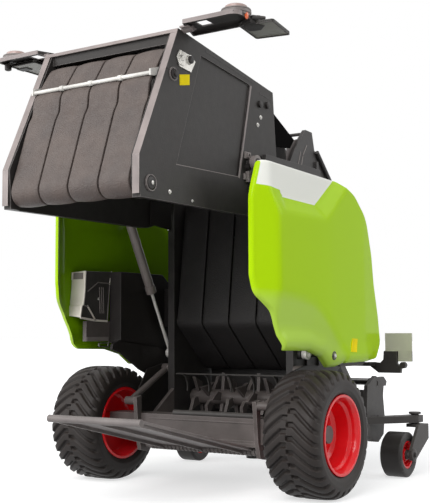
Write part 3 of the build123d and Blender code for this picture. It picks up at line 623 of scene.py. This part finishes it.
gate_line = even_line(belt_line(gate_rollers + gate_rollers[2:0:-1], ends=(0, 3)), 0.55)
front_line = even_line(belt_line(front_rollers), 0.6)
for number, centre in enumerate(belt_centres, 1):
    gate_belt = band_mesh(gate_line, centre, 0.22, gate_belt_swell)
    front_belt = band_mesh(front_line, centre, 0.15)
    add_piece(f"gate_belt_{number}", gate_belt, "belt_rubber", "tailgate", ["tailgate_belts"])
    add_piece(f"front_belt_{number}", front_belt, "shaded_belt_rubber", "chassis", ["front_belts"])
rear_set = joined(*[roller_mesh(y, z, r - 0.02, 19.5) for y, z, r in gate_rollers])
front_set = joined(*[roller_mesh(y, z, r - 0.02, 19.8) for y, z, r in front_rollers])
add_piece("gate_rollers", rear_set, "roller_steel", "tailgate", ["tailgate_belts"])
add_piece("front_rollers", front_set, "roller_steel", "chassis", ["front_belts"])


# Hoods: one moulded skin each, with a stepped-in field, a tuck and a rolled lower lip

hood_corners = [  # (y, z, radius)
    (-24.9, 87.9, 1.6), (8.0, 87.1, 8.0), (14.5, 86.9, 8.0), (24.0, 84.0, 12.0), (32.5, 77.6, 12.0),
    (36.6, 67.0, 12.0), (38.2, 58.5, 12.0), (41.4, 49.0, 12.0), (43.2, 40.6, 3.0), (39.6, 36.2, 2.5),
    (33.0, 35.4, 3.0), (17.0, 35.3, 4.0), (13.0, 34.4, 1.8), (9.2, 34.3, 1.8), (4.6, 37.4, 2.5),
    (-2.5, 39.1, 4.0), (-15.2, 39.4, 1.5), (-17.6, 43.0, 6.0), (-21.2, 49.6, 6.0), (-25.8, 53.8, 5.0),
    (-26.9, 58.5, 5.0), (-26.9, 78.5, 12.0)]
hood_thickness = 1.3
hood_roll = 0.6
hood_plan = [(33.2, -26.8), (37.3, -20.0), (37.4, 8.0), (37.0, 30.0), (35.8, 44.0)]  # (x, y)
tuck_slope = 0.17
tuck_depth = 1.5
lip_height = 0.35
lip_rear_height = 0.45
lip_roll = 0.8
field_floor_x = 35.7
field_depth = 1.7
field_floor_line = (-22.6, -17.6, -16.2, 1.5), (81.5, 80.6, 79.0, 78.6)  # y, z
field_edge_line = (-20.0, 8.1), (74.9, 75.2)  # y, z
field_front_low, field_front_high = (1.5, 78.6), (11.8, 86.0)
field_front_slope = 5.4
latch_y, latch_z = 10.6, 37.6


def rounded_outline(corners, steps=6):
    """A closed outline from (y, z, radius) corners, each rounded."""
    outline = []
    count = len(corners)
    for i in range(count):
        here = Vector(corners[i][:2])
        back = Vector(corners[i - 1][:2]) - here
        ahead = Vector(corners[(i + 1) % count][:2]) - here
        half_turn = back.angle(ahead) / 2
        set_back = min(corners[i][2] / math.tan(half_turn), 0.45 * back.length, 0.45 * ahead.length)
        start = here + back.normalized() * set_back
        end = here + ahead.normalized() * set_back
        for k in range(steps + 1):
            t = k / steps
            outline.append(start * (1 - t) ** 2 + here * 2 * t * (1 - t) + end * t * t)
    return outline


def inward_normals(outline):
    """The direction inwards at each point of a closed outline that is convex at its first point."""
    normals = []
    for i in range(len(outline)):
        way = outline[(i + 1) % len(outline)] - outline[i - 1]
        normals.append(Vector((-way.y, way.x)).normalized())
    middle = sum(outline, Vector((0, 0))) / len(outline)
    inwards = (middle - outline[0]).dot(normals[0]) > 0
    return normals if inwards else [-n for n in normals]


def span(value, low, high):
    """0 below low, 1 above high, and a smooth rise between."""
    t = min(max((value - low) / (high - low), 0.0), 1.0)
    return t * t * (3 - 2 * t)


def line_gap(y, z, start, end):
    """How far (y, z) lies to the right of the line from start to end."""
    way = Vector(end) - Vector(start)
    return ((y - start[0]) * way.y - (z - start[1]) * way.x) / way.length


def line_distance(place, line):
    """The distances from places, an array of (y, z), to a line of points."""
    starts, ends = np.array(line[:-1], float), np.array(line[1:], float)
    way = ends - starts
    t = ((place[:, None, :] - starts) * way).sum(2) / (way ** 2).sum(1)
    nearest = starts + way * np.clip(t, 0, 1)[..., None]
    return np.hypot(*np.moveaxis(place[:, None, :] - nearest, 2, 0)).min(1)


hood_outline = rounded_outline(hood_corners)
hood_rim = [tuple(p) for p in hood_outline] + [tuple(hood_outline[0])]
hood_lower_edge = [corner[:2] for corner in hood_corners[8:17]]


def field_rise(y, z):
    """How far (y, z) has come up the slope that bounds the sunk white field: 0 on its floor, 1 at its top."""
    floor_z = float(np.interp(y, *field_floor_line))
    edge_z = float(np.interp(y, *field_edge_line))
    below = (floor_z - z) / (floor_z - edge_z)
    ahead = line_gap(y, z, field_front_low, field_front_high) / field_front_slope
    return min(max(below, ahead, 0.0), 1.0)


def hood_skin(y, z):
    """How far out the hood's face lies at (y, z), before its edge rolls in."""
    plan_x, plan_y = zip(*hood_plan)
    x = sum(float(np.interp(y + d, plan_y, plan_x)) for d in (-0.8, -0.4, 0, 0.4, 0.8)) / 5
    if z > 72 and y < 24:
        x = min(x, field_floor_x + field_depth * field_rise(y, z))
    place = np.array([[y, z]])
    if z < float(np.interp(y, *zip(*tuck_crease))) and y < tuck_crease[-1][0]:
        x -= min(tuck_slope * float(line_distance(place, tuck_crease)[0]), tuck_depth) * span(y, -26.0, -19.0)
    gap = float(line_distance(place, hood_lower_edge)[0])
    low = span(y, -19.0, -15.5) * (1 - span(y, 34.0, 39.0))
    rear = 1 - span(y, 2.0, 9.0)
    x += low * (lip_height + lip_rear_height * rear) * (1 - span(gap, 2.6, 6.0))
    return x - low * lip_roll * (1 - span(gap, 0.0, 2.2)) ** 2


def hood_mesh():
    """The hood's shell, cut into small faces so that its skin follows hood_skin and its edge rolls in."""
    count = len(hood_outline)
    normals = inward_normals(hood_outline)
    form = bmesh.new()
    rings = [[form.verts.new((0, *(p + n * inset))) for p, n in zip(hood_outline, normals)]
             for inset in (0.0, 0.05, 0.14, 0.27, 0.43, hood_roll)]
    for outer, inner in zip(rings, rings[1:]):
        for i in range(count):
            form.faces.new([outer[i], outer[(i + 1) % count], inner[(i + 1) % count], inner[i]])
    form.faces.new(rings[-1])
    cuts = [((0, 1, 0), y) for y in np.arange(-26.0, 44.0, 1.0)]
    cuts += [((0, 0, 1), z) for z in np.arange(35.0, 88.0, 1.0)]
    for normal, place in cuts:
        bmesh.ops.bisect_plane(form, geom=form.verts[:] + form.edges[:] + form.faces[:], dist=0.0001,
                               plane_co=Vector(normal) * float(place), plane_no=normal)
    form.verts.index_update()
    flat = [(v.co.y, v.co.z) for v in form.verts]
    faces = [tuple(v.index for v in face.verts) for face in form.faces]
    rim = [tuple(v.index for v in edge.verts) for edge in form.edges if len(edge.link_faces) == 1]
    form.free()
    inset = np.minimum(line_distance(np.array(flat), hood_rim), hood_roll)
    roll = hood_roll - np.sqrt(np.maximum(hood_roll ** 2 - (hood_roll - inset) ** 2, 0))
    skin = [hood_skin(y, z) for y, z in flat]
    points = [(x - float(r), y, z) for x, r, (y, z) in zip(skin, roll, flat)]
    points += [(x - hood_thickness, y, z) for x, (y, z) in zip(skin, flat)]
    total = len(flat)
    faces += [tuple(total + i for i in reversed(face)) for face in faces]
    faces += [(a, b, b + total, a + total) for a, b in rim]
    return points, faces


def hood_arms():
    """The two hinge arms inside a hood."""
    parts = []
    for y, x in ((7.0, 35.3), (20.0, 36.4)):
        parts.append(turned([(0, 1.4), (3.0, 1.4)], (28.0, y, 86.0), (0, 1, 0), 32))
        parts.append(brick(28.0, x, y, y + 3.0, 81.6, 83.0))
        parts.append(brick(27.0, 29.4, y, y + 3.0, 81.6, 86.0))
    return joined(*parts)


latch = (hood_skin(latch_y, latch_z), latch_y, latch_z)
latch_rim = ring_of([(-0.25, 0.75), (0.05, 0.75), (0.12, 0.95), (0.05, 1.2), (-0.25, 1.25)], latch)
latch_pin = turned([(-0.6, 0.6), (0.25, 0.6), (0.45, 0.42), (0.5, 0.2)], latch, steps=24)
plate_corners = [(19.3, 38.5), (23.0, 38.3), (24.4, 42.1), (20.9, 42.3)]
hood_plate = skinned([[(hood_skin(y, z) + lift, y, z) for y, z in plate_corners] for lift in (-0.1, 0.1)])
liner = [(16.5, 36.4), (18.5, 34.3), (32.5, 34.2), (36.5, 36.2), (36.5, 37.4), (16.5, 37.4)]
add_pair("hood_shell", hood_mesh(), "hood_gloss_green", "hood_{}", ["hood_{}"], sharp=32)
add_pair("hood_arms", hood_arms(), "dark_plastic", "hood_{}", ["hood_{}"], bevel=0.15)
add_pair("hood_latch_rim", latch_rim, "dark_plastic", "hood_{}")
add_pair("hood_latch_pin", latch_pin, "bright_metal", "hood_{}")
add_pair("hood_plate", hood_plate, "yellow_plate", "hood_{}")
add_pair("hood_liner", prism(liner, 33.6, 34.6), "dark_plastic", "hood_{}", bevel=0.1)


# Tailgate: fittings on its sides, and the pale painted highlight along its rear edge. gate_face is how far
# out its side lies.

gate_face = 22.0
clasp_eye = (gate_face, -38.6, 112.2)
round_boss = (gate_face, -45.2, 107.3)
cylinder_eye = (gate_face, -54.4, 79.3)


def on_gate(y, z):
    return gate_face, y, z


def gate_strip(line, width, lift=0.12):
    """A raised line on the tailgate's side."""
    return strip(line, width, gate_face - 0.1, gate_face + lift)


def rear_edge():
    """The pale band along the side plate's rear edge: a painted highlight where the edge faces the light."""
    parts = []
    line = [Vector(p) for p in ((-43.2, 119.2), (-58.75, 85.6), (-58.75, 76.4))]
    for start, end in zip(line, line[1:]):
        way = (end - start).normalized() * 0.14
        out = Vector((way.y, -way.x))
        parts.append(prism([start, end, end + out, start + out], 20.1, 22.1))
    return joined(*parts)


clasp = [(-42.9, 113.9), (-37.9, 113.4), (-36.0, 112.3), (-37.9, 109.2), (-42.9, 109.7), (-44.1, 112.0)]
clasp_bar = [(-43.4, 110.2), (-41.4, 110.0), (-40.6, 113.3), (-42.6, 113.8)]
gate_plate = [(-42.6, 107.7), (-38.4, 108.6), (-38.4, 105.9), (-42.6, 105.0)]
small_boss = [(0, 0.95), (0.6, 0.95), (0.8, 0.6)]
add_pair("gate_clasp", joined(
    prism(clasp, gate_face - 0.1, gate_face + 0.3), prism(clasp_bar, gate_face + 0.2, gate_face + 0.55),
    turned([(0, 0.9), (0.5, 0.9), (0.8, 0.5)], on_gate(-42.3, 111.8)),
    collar(clasp_eye, 0.6, 1.0, 1.25, 1.3)), "bright_metal", "tailgate", bevel=0.06)
add_pair("gate_bosses", joined(
    turned([(0, 1.0), (0.9, 1.0), (1.1, 0.7)], clasp_eye),
    turned([(0, 1.25), (0.5, 1.25), (0.7, 0.8), (1.1, 0.8), (1.2, 0.6)], round_boss),
    turned([(0, 0.35), (0.3, 0.3)], on_gate(-47.9, 108.4), steps=16),
    turned(small_boss, on_gate(-4.4, 107.4)), turned(small_boss, on_gate(-0.4, 107.8)),
    turned([(0, 0.9), (1.0, 0.9), (1.2, 0.6)], on_gate(-11.2, 88.8)),
    turned([(0, 1.5), (0.4, 1.5), (0.5, 1.2), (0.5, 0.4)], cylinder_eye)), "deep_black", "tailgate")
add_pair("gate_rings", joined(
    turned([(0, 0.5), (0.8, 0.5), (0.9, 0.3)], cylinder_eye, steps=16),
    bolt(on_gate(-3.8, 103.8), 0.42), bolt(on_gate(-5.4, 101.4), 0.42), bolt(on_gate(-46.7, 78.0), 0.38),
    bolt(on_gate(-37.2, 76.8), 0.25)), "bright_metal", "tailgate")
# Paler rings round the round boss and the cylinder's eye: painted highlights on their dark rims.
add_pair("gate_boss_highlight_rings", joined(
    collar(round_boss, 0.25, 1.4, 1.7, 1.75),
    collar(cylinder_eye, 0.4, 1.75, 2.0, 2.05)), "arm_grey", "tailgate")
add_pair("gate_latch", joined(
    brick(21.9, 22.5, -12.6, -9.8, 91.0, 92.9), brick(21.9, 22.5, -13.0, -9.0, 85.2, 86.9),
    brick(21.9, 23.0, -11.9, -10.5, 84.6, 87.6),
    collar((22.4, -11.2, 91.9), 0.5, 0.4, 0.8, 0.8)),
    "lamp_base", "tailgate", bevel=0.1)
# The first two black strips stand for slots in the side plate: their black is painted shade.
add_pair("gate_lines", joined(
    gate_strip([(-4.0, 110.5), (2.0, 109.8)], 0.45, 0.05),
    gate_strip([(-44.9, 79.3), (-37.7, 79.7)], 0.25, 0.05),
    gate_strip([(-31.0, 116.3), (-7.5, 112.9)], 0.5, 0.05)), "deep_black", "tailgate")
# Pale raised lines on the rib in front of the recess and along its lower edge: painted highlights where these
# edges catch the light.
add_pair("gate_edge_highlights", joined(
    gate_strip([(-9.0, 111.4), (-15.2, 85.6)], 0.55), gate_strip([(-16.0, 85.6), (-44.0, 85.1)], 0.14, 0.06)),
    "pale_edge", "tailgate")
add_pair("gate_plate", prism(gate_plate, gate_face - 0.1, gate_face + 0.1), "yellow_plate", "tailgate")
# The pale band on the rear edge and the pale strip on the top edge are painted highlights.
add_pair("gate_rear_highlight", rear_edge(), "painted_highlight_flange", "tailgate", bevel=0.05)
top_edge = [(-43.3, 119.15), (-43.75, 118.2), (-43.9, 118.28), (-43.45, 119.23)]
add_piece("gate_top_highlight", prism(top_edge, -gate_face, gate_face), "painted_highlight_flange", "tailgate")


# Lamp carriers: a rim, sheets with a hole, a second board beyond, and the lamp

def turned_board(centre, size, angle, z0, z1, corner=0.8):
    """A rounded plate turned about its centre."""
    half_x, half_y = size[0] / 2, size[1] / 2
    turn = Matrix.Rotation(math.radians(angle), 2)
    corners = [(-half_x, -half_y), (half_x, -half_y), (half_x, half_y), (-half_x, half_y)]
    outline = rounded_outline([(x, y, corner) for x, y in corners])
    return slab([Vector(centre) + turn @ p for p in outline], z0, z1)


def wall_round(outline, thickness, z0, z1):
    """A closed upright rim that follows an outline in (X, Y)."""
    outline = [Vector(p) for p in outline]
    inner = [p + normal * thickness for p, normal in zip(outline, inward_normals(outline))]
    levels = ((outline, z0), (outline, z1), (inner, z1), (inner, z0))
    return skinned([[(x, y, z) for x, y in ring] for ring, z in levels], hole=True)


def carrier_highlight_band(rim, low=119.68, high=120.74):
    """The pale outside of a carrier's rim at its rear and its outer end, where it faces the light: a painted
    highlight.
    """
    rings = []
    for x, y in rim:
        if y < -41.0 or (x > 39.0 and y < -36.0):
            out_x, out_y = x + 0.08 * span(x, 36.0, 39.5), y - 0.1
            rings.append([(out_x, out_y, low), (out_x, out_y, high), (x, y, high), (x, y, low)])
    return skinned(rings)


carrier = ["lamp_carrier_{}"]
carrier_corners = [  # (x, y, radius)
    (24.2, -44.5, 0.4), (39.9, -44.5, 2.6), (39.9, -34.0, 1.0), (20.2, -34.0, 0.4)]
carrier_rim = rounded_outline(carrier_corners)
carrier_sheets = [
    [(24.4, -44.3), (39.0, -44.3), (39.0, -42.0), (23.5, -42.0)],
    [(22.2, -38.4), (39.7, -38.4), (39.7, -34.2), (20.5, -34.2)],
    [(23.5, -42.0), (26.4, -42.0), (26.0, -38.4), (22.2, -38.4)],
    [(29.6, -42.0), (39.7, -42.0), (39.7, -38.4), (29.4, -38.4)]]
carrier_root = joined(tube([(21.4, -40.6, 119.3), (24.6, -40.3, 119.5)], 0.75, 20),
                      brick(21.9, 24.4, -42.6, -38.6, 119.5, 120.0))
add_pair("carrier_rim", wall_round(carrier_rim, 0.45, 119.7, 120.7), "gate_satin_grey", "tailgate", carrier,
         bevel=0.06)
add_pair("carrier_highlight_band", carrier_highlight_band(carrier_rim), "pale_edge", "tailgate")
add_pair("carrier_sheet", joined(*[slab(sheet, 120.25, 120.55) for sheet in carrier_sheets]),
         "gate_satin_grey", "tailgate", carrier)
add_pair("carrier_root", carrier_root, "pale_edge", "tailgate", carrier, bevel=0.1)

board_size = (9.2, 12.4)
second_boards = {"left": ((-33.7, -34.2), 0), "right": ((39.1, -30.1), 10)}  # centre, turn
carrier_arms = {
    "left": [(-35.0, -37.5), (-39.0, -37.5), (-39.0, -34.6), (-35.0, -34.6)],
    "right": [(36.0, -36.5), (39.8, -38.0), (41.0, -33.0), (38.6, -30.6), (35.4, -31.4)]}
for name, s in sides:
    centre, turn = second_boards[name]
    board = turned_board(centre, board_size, turn, 119.25, 119.75)
    border = [(x, y) for x, y, z in board[0][:len(board[0]) // 2]]
    board_rim = wall_round(border, 0.35, 119.0, 119.8)
    arm = slab(carrier_arms[name], 119.0, 120.3)
    add_piece(f"carrier_board_{name}", board, "board_underside", "tailgate", [f"lamp_carrier_{name}"],
              bevel=0.1)
    add_piece(f"carrier_board_rim_{name}", board_rim, "gate_satin_grey", "tailgate", bevel=0.05)
    add_piece(f"carrier_arm_{name}", arm, "gate_satin_grey", "tailgate", bevel=0.3)

lamp = (36.8, -39.7, 120.7)
lamp_base = [(-0.3, 3.2), (-0.3, 3.5), (0.15, 3.5), (0.3, 3.75), (0.75, 3.75), (0.85, 3.6), (1.0, 3.6),
             (1.1, 3.72), (1.4, 3.6), (1.5, 3.2)]
lamp_lens = [(1.4, 2.9), (1.7, 2.85), (2.2, 2.7), (2.45, 2.3), (2.6, 1.6), (2.65, 0.6)]
disc, disc_faces = turned([(0, 1.0), (0.25, 1.0), (0.45, 0.7), (0.5, 0.3)], (39.85, 0, 120.2), steps=32)
reflector = [(x, 0.7 * y - 40.0, z) for x, y, z in disc]
add_pair("lamp_base", turned(lamp_base, lamp, upwards, 64), "lamp_base", "tailgate", ["rear_lamp_{}"])
add_pair("lamp_lens", turned(lamp_lens, lamp, upwards, 64), "smoked_lens", "tailgate", ["rear_lamp_{}"])
add_pair("lamp_reflector", (reflector, disc_faces), "orange_reflector", "tailgate")

knob = turned([(-0.8, 0.4), (-0.3, 0.55), (0.3, 0.55), (0.8, 0.4)], (41.0, -36.2, 120.4), (0.6, 0.8, 0))
knob_arm = tube([(40.0, -37.6, 120.4), (42.0, -34.8, 120.4)], 0.5)
add_piece("carrier_knob_right", joined(knob, knob_arm), "dark_plastic", "tailgate", ["lamp_carrier_right"])
hook = turned([(-2.0, 0.5), (-1.8, 0.95), (-0.2, 1.0), (0.0, 0.8)], (-38.6, -41.0, 119.9), upwards)
hook_arm = brick(-39.4, -36.8, -41.6, -40.4, 119.4, 119.8)
add_piece("carrier_hook_left", joined(hook, hook_arm), "deep_black", "tailgate", ["lamp_carrier_left"],
          bevel=0.1)


# Left valve housing and its cast cover. cover_x is the side of the cover that looks right.
# The profiles are the (y, z) of its rear edge, on that side and on the far one.

cover_x = -31.0
cover_far_x = -35.7
cover_profile = [(-18.3, 48.6), (-17.7, 51.9), (-17.0, 52.3), (-16.4, 56.2), (-16.1, 62.3)]
cover_far_profile = [(-18.4, 49.2), (-18.0, 51.9), (-17.5, 52.3), (-16.9, 56.2), (-16.5, 62.0)]


def between(outline, x, far_outline, far_x):
    """A form from one outline in (Y, Z) at x to another at far_x."""
    return skinned([[(x, y, z) for y, z in outline], [(far_x, y, z) for y, z in far_outline]])


def face_band(profile):
    """The closed outline of the bright skin along the cover's rear edge."""
    return [(y - 0.15, z) for y, z in profile] + [(y + 0.35, z) for y, z in reversed(profile)]


def cover_strip(line, width, depth=0.15):
    """A line on the side of the cover that looks right."""
    return strip(line, width, cover_x + 0.1, cover_x + 0.1 + depth)


housing_plate = [(-5.0, 41.4), (22.0, 38.5), (22.0, 58.0), (16.0, 62.4), (-5.0, 62.4)]
housing_foot = [(-5.0, 42.0), (-8.6, 40.8), (-9.0, 39.3), (-4.4, 38.1), (4.5, 32.9), (12.0, 30.0),
                (22.0, 30.0), (22.0, 39.0)]
housing = joined(prism(housing_plate, cover_x, -26.6), prism(housing_foot, -27.6, -26.6),
                 brick(-27.6, -21.1, 17.0, 21.4, 46.0, 58.0))
housing_node = ["valve_housing"]
cover_node = ["valve_cover"]
add_piece("housing_shell", housing, "deep_black", "chassis", housing_node, bevel=0.15)
add_piece("housing_box", brick(-32.4, cover_x, -15.6, 0.0, 41.6, 47.6), "arm_grey", "chassis", housing_node,
          bevel=0.15)
add_piece("housing_box_foot", joined(
    brick(-31.1, -30.85, -15.4, -5.6, 41.7, 42.9), cover_strip([(-5.5, 41.3), (22.0, 38.5)], 0.3, 0.2)),
    "lamp_base", "chassis")
cover = between(cover_profile + [(-4.3, 62.6), (-6.3, 47.6)], cover_x,
                cover_far_profile + [(-4.3, 62.2), (-6.3, 48.0)], cover_far_x)
add_piece("cover_shell", cover, "dark_plastic", "chassis", cover_node, bevel=0.25)
cover_face = between(face_band(cover_profile), cover_x + 0.1,
                     face_band(cover_far_profile), cover_far_x - 0.05)
add_piece("cover_face", cover_face, "cast_silver", "chassis", cover_node, bevel=0.08)
panel = [(-35.0, -16.9, 59.9), (-31.6, -16.45, 59.9), (-31.6, -16.4, 61.8), (-35.0, -16.8, 61.8)]
panel_form = skinned([[(x, y + lift, z) for x, y, z in panel] for lift in (-0.05, 0.3)])
add_piece("cover_panel", panel_form, "lamp_base", "chassis")
trim_line = [(-16.2, 62.3), (-16.5, 56.2), (-17.1, 52.3), (-17.8, 51.9), (-18.4, 48.6)]
add_piece("cover_trim", joined(
    tube([(cover_x, y, z) for y, z in trim_line], 0.26),
    tube([(-35.5, -16.8, 62.0), (-35.5, -17.0, 59.7)], 0.2),
    cover_strip([(-15.2, 51.9), (-12.2, 48.4)], 0.55),
    cover_strip([(-18.2, 48.5), (-12.0, 47.8), (-6.4, 47.6)], 0.6),
    cover_strip([(-4.4, 62.5), (-5.2, 58.8)], 0.4)), "cast_silver", "chassis", bevel=0.04)
add_piece("cover_creases", joined(
    cover_strip([(-15.1, 56.4), (-10.5, 59.1), (-5.3, 59.0)], 0.28, 0.18),
    cover_strip([(-16.6, 52.1), (-15.2, 51.9)], 0.28, 0.18),
    cover_strip([(-5.3, 58.4), (-6.2, 48.0)], 0.25, 0.18),
    *[cover_strip([(y, 50.0), (y - 0.3, 57.6)], 0.2, 0.18) for y in (-9.6, -8.7, -7.9)]),
    "lamp_base", "chassis")
frame_bars = [(-9.8, -5.2, 39.9, 40.2), (-9.8, -5.2, 40.9, 41.2), (-9.8, -9.4, 39.9, 41.2),
              (-5.6, -5.2, 39.9, 41.2)]  # (y0, y1, z0, z1)
# The small bright bolt stands where a glint shows on the cover: a painted highlight. The bars make a small
# silver frame.
add_piece("cover_glint_bolt_and_frame", joined(
    bolt((-31.05, -10.1, 54.2), 0.3), *[brick(-31.3, -30.9, *bar) for bar in frame_bars]),
    "bright_metal", "chassis")


# Axle, ramp and rotor. inner_half is half the width between the chamber walls.

inner_half = 19.6
ramp_hinge_y, ramp_hinge_z = -0.6, 11.2
axle_ledges = [(-17.0, -3.9, -3.4, 13.6, 14.4), (-17.0, -3.7, -3.4, 19.0, 19.4),
               (8.5, -3.9, -3.2, 12.7, 13.7)]  # (x0, y0, y1, z0, z1)
axle_tube = tube([(-8.5, -2.7, 21.0), (inner_half, -2.7, 21.0)], 0.9, 24)
add_piece("axle_tube", axle_tube, "dark_plastic", "chassis")
ledges = joined(*[brick(x0, inner_half, *rest) for x0, *rest in axle_ledges])
add_piece("axle_ledge", ledges, "arm_grey", "chassis", bevel=0.1)
knuckle = [(-0.42, 0.9), (-0.42, 1.2), (0.42, 1.2), (0.42, 0.9)]
knuckles = [ring_of(knuckle, (1.35 * k, ramp_hinge_y, ramp_hinge_z), 24) for k in range(-13, 14)]
add_piece("ramp_knuckles", joined(*knuckles), "ramp_grey", "ramp", bevel=0.06)
add_piece("feed_throat", brick(-19.4, 19.4, 33.0, 33.6, 25.2, 34.4), "deep_black", "chassis")
side_plate = [(0.5, 76.8), (0.5, 84.0), (11.0, 84.0), (11.0, 75.8)]
add_piece("belt_side_plate_left", prism(side_plate, -19.9, -19.5), "deep_black", "chassis")
stripper_bar = tube([(-inner_half, 13.9, 31.4), (inner_half, 13.9, 31.4)], 0.3, 16)
add_piece("stripper_bar", stripper_bar, "dark_plastic", "chassis")
scraper = [(12.0, 31.4), (14.6, 31.4), (15.4, 28.6), (15.0, 26.2), (14.4, 26.2), (14.4, 28.6), (13.4, 30.4)]
scrapers = [prism(scraper, x - 0.2, x + 0.2) for x in (-16.0, -8.0, 0.0, 8.0, 16.0)]
add_piece("scrapers", joined(*scrapers), "dark_plastic", "chassis", bevel=0.08)
apron = [(1.0, 14.5), (1.0, 26.0), (6.0, 33.0), (14.0, 34.5), (20.5, 34.5), (20.5, 14.5)]
add_pair("side_apron", prism(apron, 25.0, 25.4), "deep_black", "chassis", bevel=0.08)
add_pair("frame_eye_pin", bolt((25.1, 17.0, 37.7), 0.55, 0.7), "polished_rod", "chassis")


# Wheels and forks: studs, hubs, eyes and bolts

wheel_face = 37.5
hub_z = 17.0
stud_ring = 4.9
gauge_axle = (49.8, 6.8)  # (y, z)
stud_turns = [math.pi * k / 3 for k in range(6)]
studs = [bolt((wheel_face, stud_ring * math.cos(t), hub_z + stud_ring * math.sin(t)), 0.42, 0.5)
         for t in stud_turns]
hub_profile = [(-0.6, 1.5), (0.2, 1.5), (0.5, 1.1), (0.9, 1.0), (1.0, 0.6)]
gauge_hub = turned(hub_profile, (41.0, *gauge_axle), steps=32)
fork_eye = turned([(-0.1, 1.9), (0.35, 1.9), (0.45, 1.75), (0.45, 0.3)], (43.05, *gauge_axle), steps=32)
add_pair("wheel_studs", joined(*studs), "rim_gloss_red", "wheel_{}")
add_pair("gauge_hub", gauge_hub, "dark_plastic", "gauge_wheel_{}")
add_pair("fork_eye", fork_eye, "dark_plastic", "fork_{}")
add_pair("fork_bolt", bolt((43.5, *gauge_axle), 0.7, 0.5), "deep_black", "fork_{}")


# Front cover's side plates and seams, a near-black plate of painted shade by its nose, and the marker boards'
# faces

nose = [(5.4, 97.3), (16.1, 98.2), (18.6, 101.2), (5.4, 107.6)]
cheek = [(14.1, 89.0), (26.0, 89.0), (27.8, 101.1), (23.9, 101.1), (23.0, 102.4), (18.6, 101.2), (16.1, 98.2),
         (14.1, 98.0)]
seam_face = 21.0
seams = joined(
    strip([(20.6, 97.7), (18.8, 93.0), (18.2, 89.6)], 0.3, seam_face, seam_face + 0.22),
    strip([(24.4, 100.2), (22.1, 97.0), (20.8, 92.7), (20.3, 89.2)], 0.4, seam_face, seam_face + 0.22))
# The nose plate is painted shade over the shaded belts behind it.
add_pair("nose_shade_plate", prism(nose, 19.95, 20.1), "painted_shade_black", "chassis")
add_pair("cover_cheek", prism(cheek, 19.92, 20.05), "arm_grey", "chassis")
add_pair("cover_seams", seams, "lamp_base", "chassis")
add_pair("marker_face", brick(38.8, 43.2, 49.4, 49.62, 35.0, 38.3), "board_pale", "chassis")


# Floor, light and camera

def seen_by_rays(tree):
    """1 for the rays that see the background: the camera's, and glossy and transmitted ones."""
    rays = add_node(tree, "LightPath").outputs
    seen = calculate(tree, "MAXIMUM", rays["Is Camera Ray"], rays["Is Glossy Ray"])
    return calculate(tree, "MAXIMUM", seen, rays["Is Transmission Ray"])


def make_floor():
    """A floor that holds the model's shadow and fades into the white background."""
    mesh = bpy.data.meshes.new("studio_floor")
    reach = 4.0
    corners = [(-reach, -reach, 0), (reach, -reach, 0), (reach, reach, 0), (-reach, reach, 0)]
    mesh.from_pydata(corners, [], [(0, 1, 2, 3)])
    floor = bpy.data.objects.new("studio_floor", mesh)
    bpy.context.scene.collection.objects.link(floor)
    material = bpy.data.materials.new("studio_floor")
    material.use_nodes = True
    tree = material.node_tree
    tree.nodes.clear()
    matt = add_node(tree, "BsdfDiffuse", {"Color": (0.55, 0.55, 0.55, 1)}).outputs[0]
    away = add_node(tree, "VectorMath", {0: object_place(tree)}, operation="LENGTH")
    fade = add_node(tree, "MapRange", {"Value": away.outputs["Value"], "From Min": 0.10, "From Max": 0.32,
                                       "To Min": 0.62, "To Max": 1.0})
    glow = add_node(tree, "Emission", {"Strength": fade.outputs["Result"]}).outputs[0]
    both = add_node(tree, "AddShader", {0: matt, 1: glow}).outputs[0]
    choose = add_node(tree, "MixShader", {"Fac": seen_by_rays(tree), 1: matt, 2: both})
    add_node(tree, "OutputMaterial", {"Surface": choose.outputs[0]})
    mesh.materials.append(material)


def make_world():
    """A white background to look at, and a dimmer one that lights the model."""
    world = bpy.data.worlds.new("studio")
    bpy.context.scene.world = world
    world.use_nodes = True
    tree = world.node_tree
    tree.nodes.clear()
    sky = add_node(tree, "Background", {"Color": (1, 1, 1, 1), "Strength": 1.0}).outputs[0]
    fill = add_node(tree, "Background", {"Color": (0.95, 0.97, 1.0, 1), "Strength": 0.42}).outputs[0]
    choose = add_node(tree, "MixShader", {"Fac": seen_by_rays(tree), 1: fill, 2: sky})
    add_node(tree, "OutputWorld", {"Surface": choose.outputs[0]})


def make_softbox(name, place, size, power):
    """A rectangular lamp that looks at the model's lower middle."""
    light = bpy.data.lights.new(name, "AREA")
    light.shape = "RECTANGLE"
    light.size, light.size_y = size
    light.energy = power
    lamp = bpy.data.objects.new(name, light)
    bpy.context.scene.collection.objects.link(lamp)
    lamp.location = place
    lamp.rotation_euler = (Vector((0, 0, 0.06)) - Vector(place)).to_track_quat("-Z", "Y").to_euler()


def make_camera():
    """The camera, fitted to the photograph."""
    lens = bpy.data.cameras.new("photograph")
    lens.sensor_fit = "VERTICAL"
    lens.sensor_height = 36.0
    lens.lens = 72.52
    lens.clip_start = 0.01
    camera = bpy.data.objects.new("photograph", lens)
    bpy.context.scene.collection.objects.link(camera)
    camera.location = at(165.4, -242.9, 44.2)
    camera.rotation_euler = (math.radians(90 + 4.55), math.radians(0.2), math.radians(33.61))
    bpy.context.scene.camera = camera


make_floor()
make_world()
make_softbox("key_behind", (0.10, -0.62, 0.48), (0.5, 0.5), 5.0)
make_softbox("left_rear_fill", (-0.5, -0.45, 0.25), (0.5, 0.4), 2.0)
make_softbox("front_right_rim", (0.55, 0.35, 0.35), (0.4, 0.4), 1.3)
make_camera()
bpy.context.scene.view_settings.view_transform = "Standard"
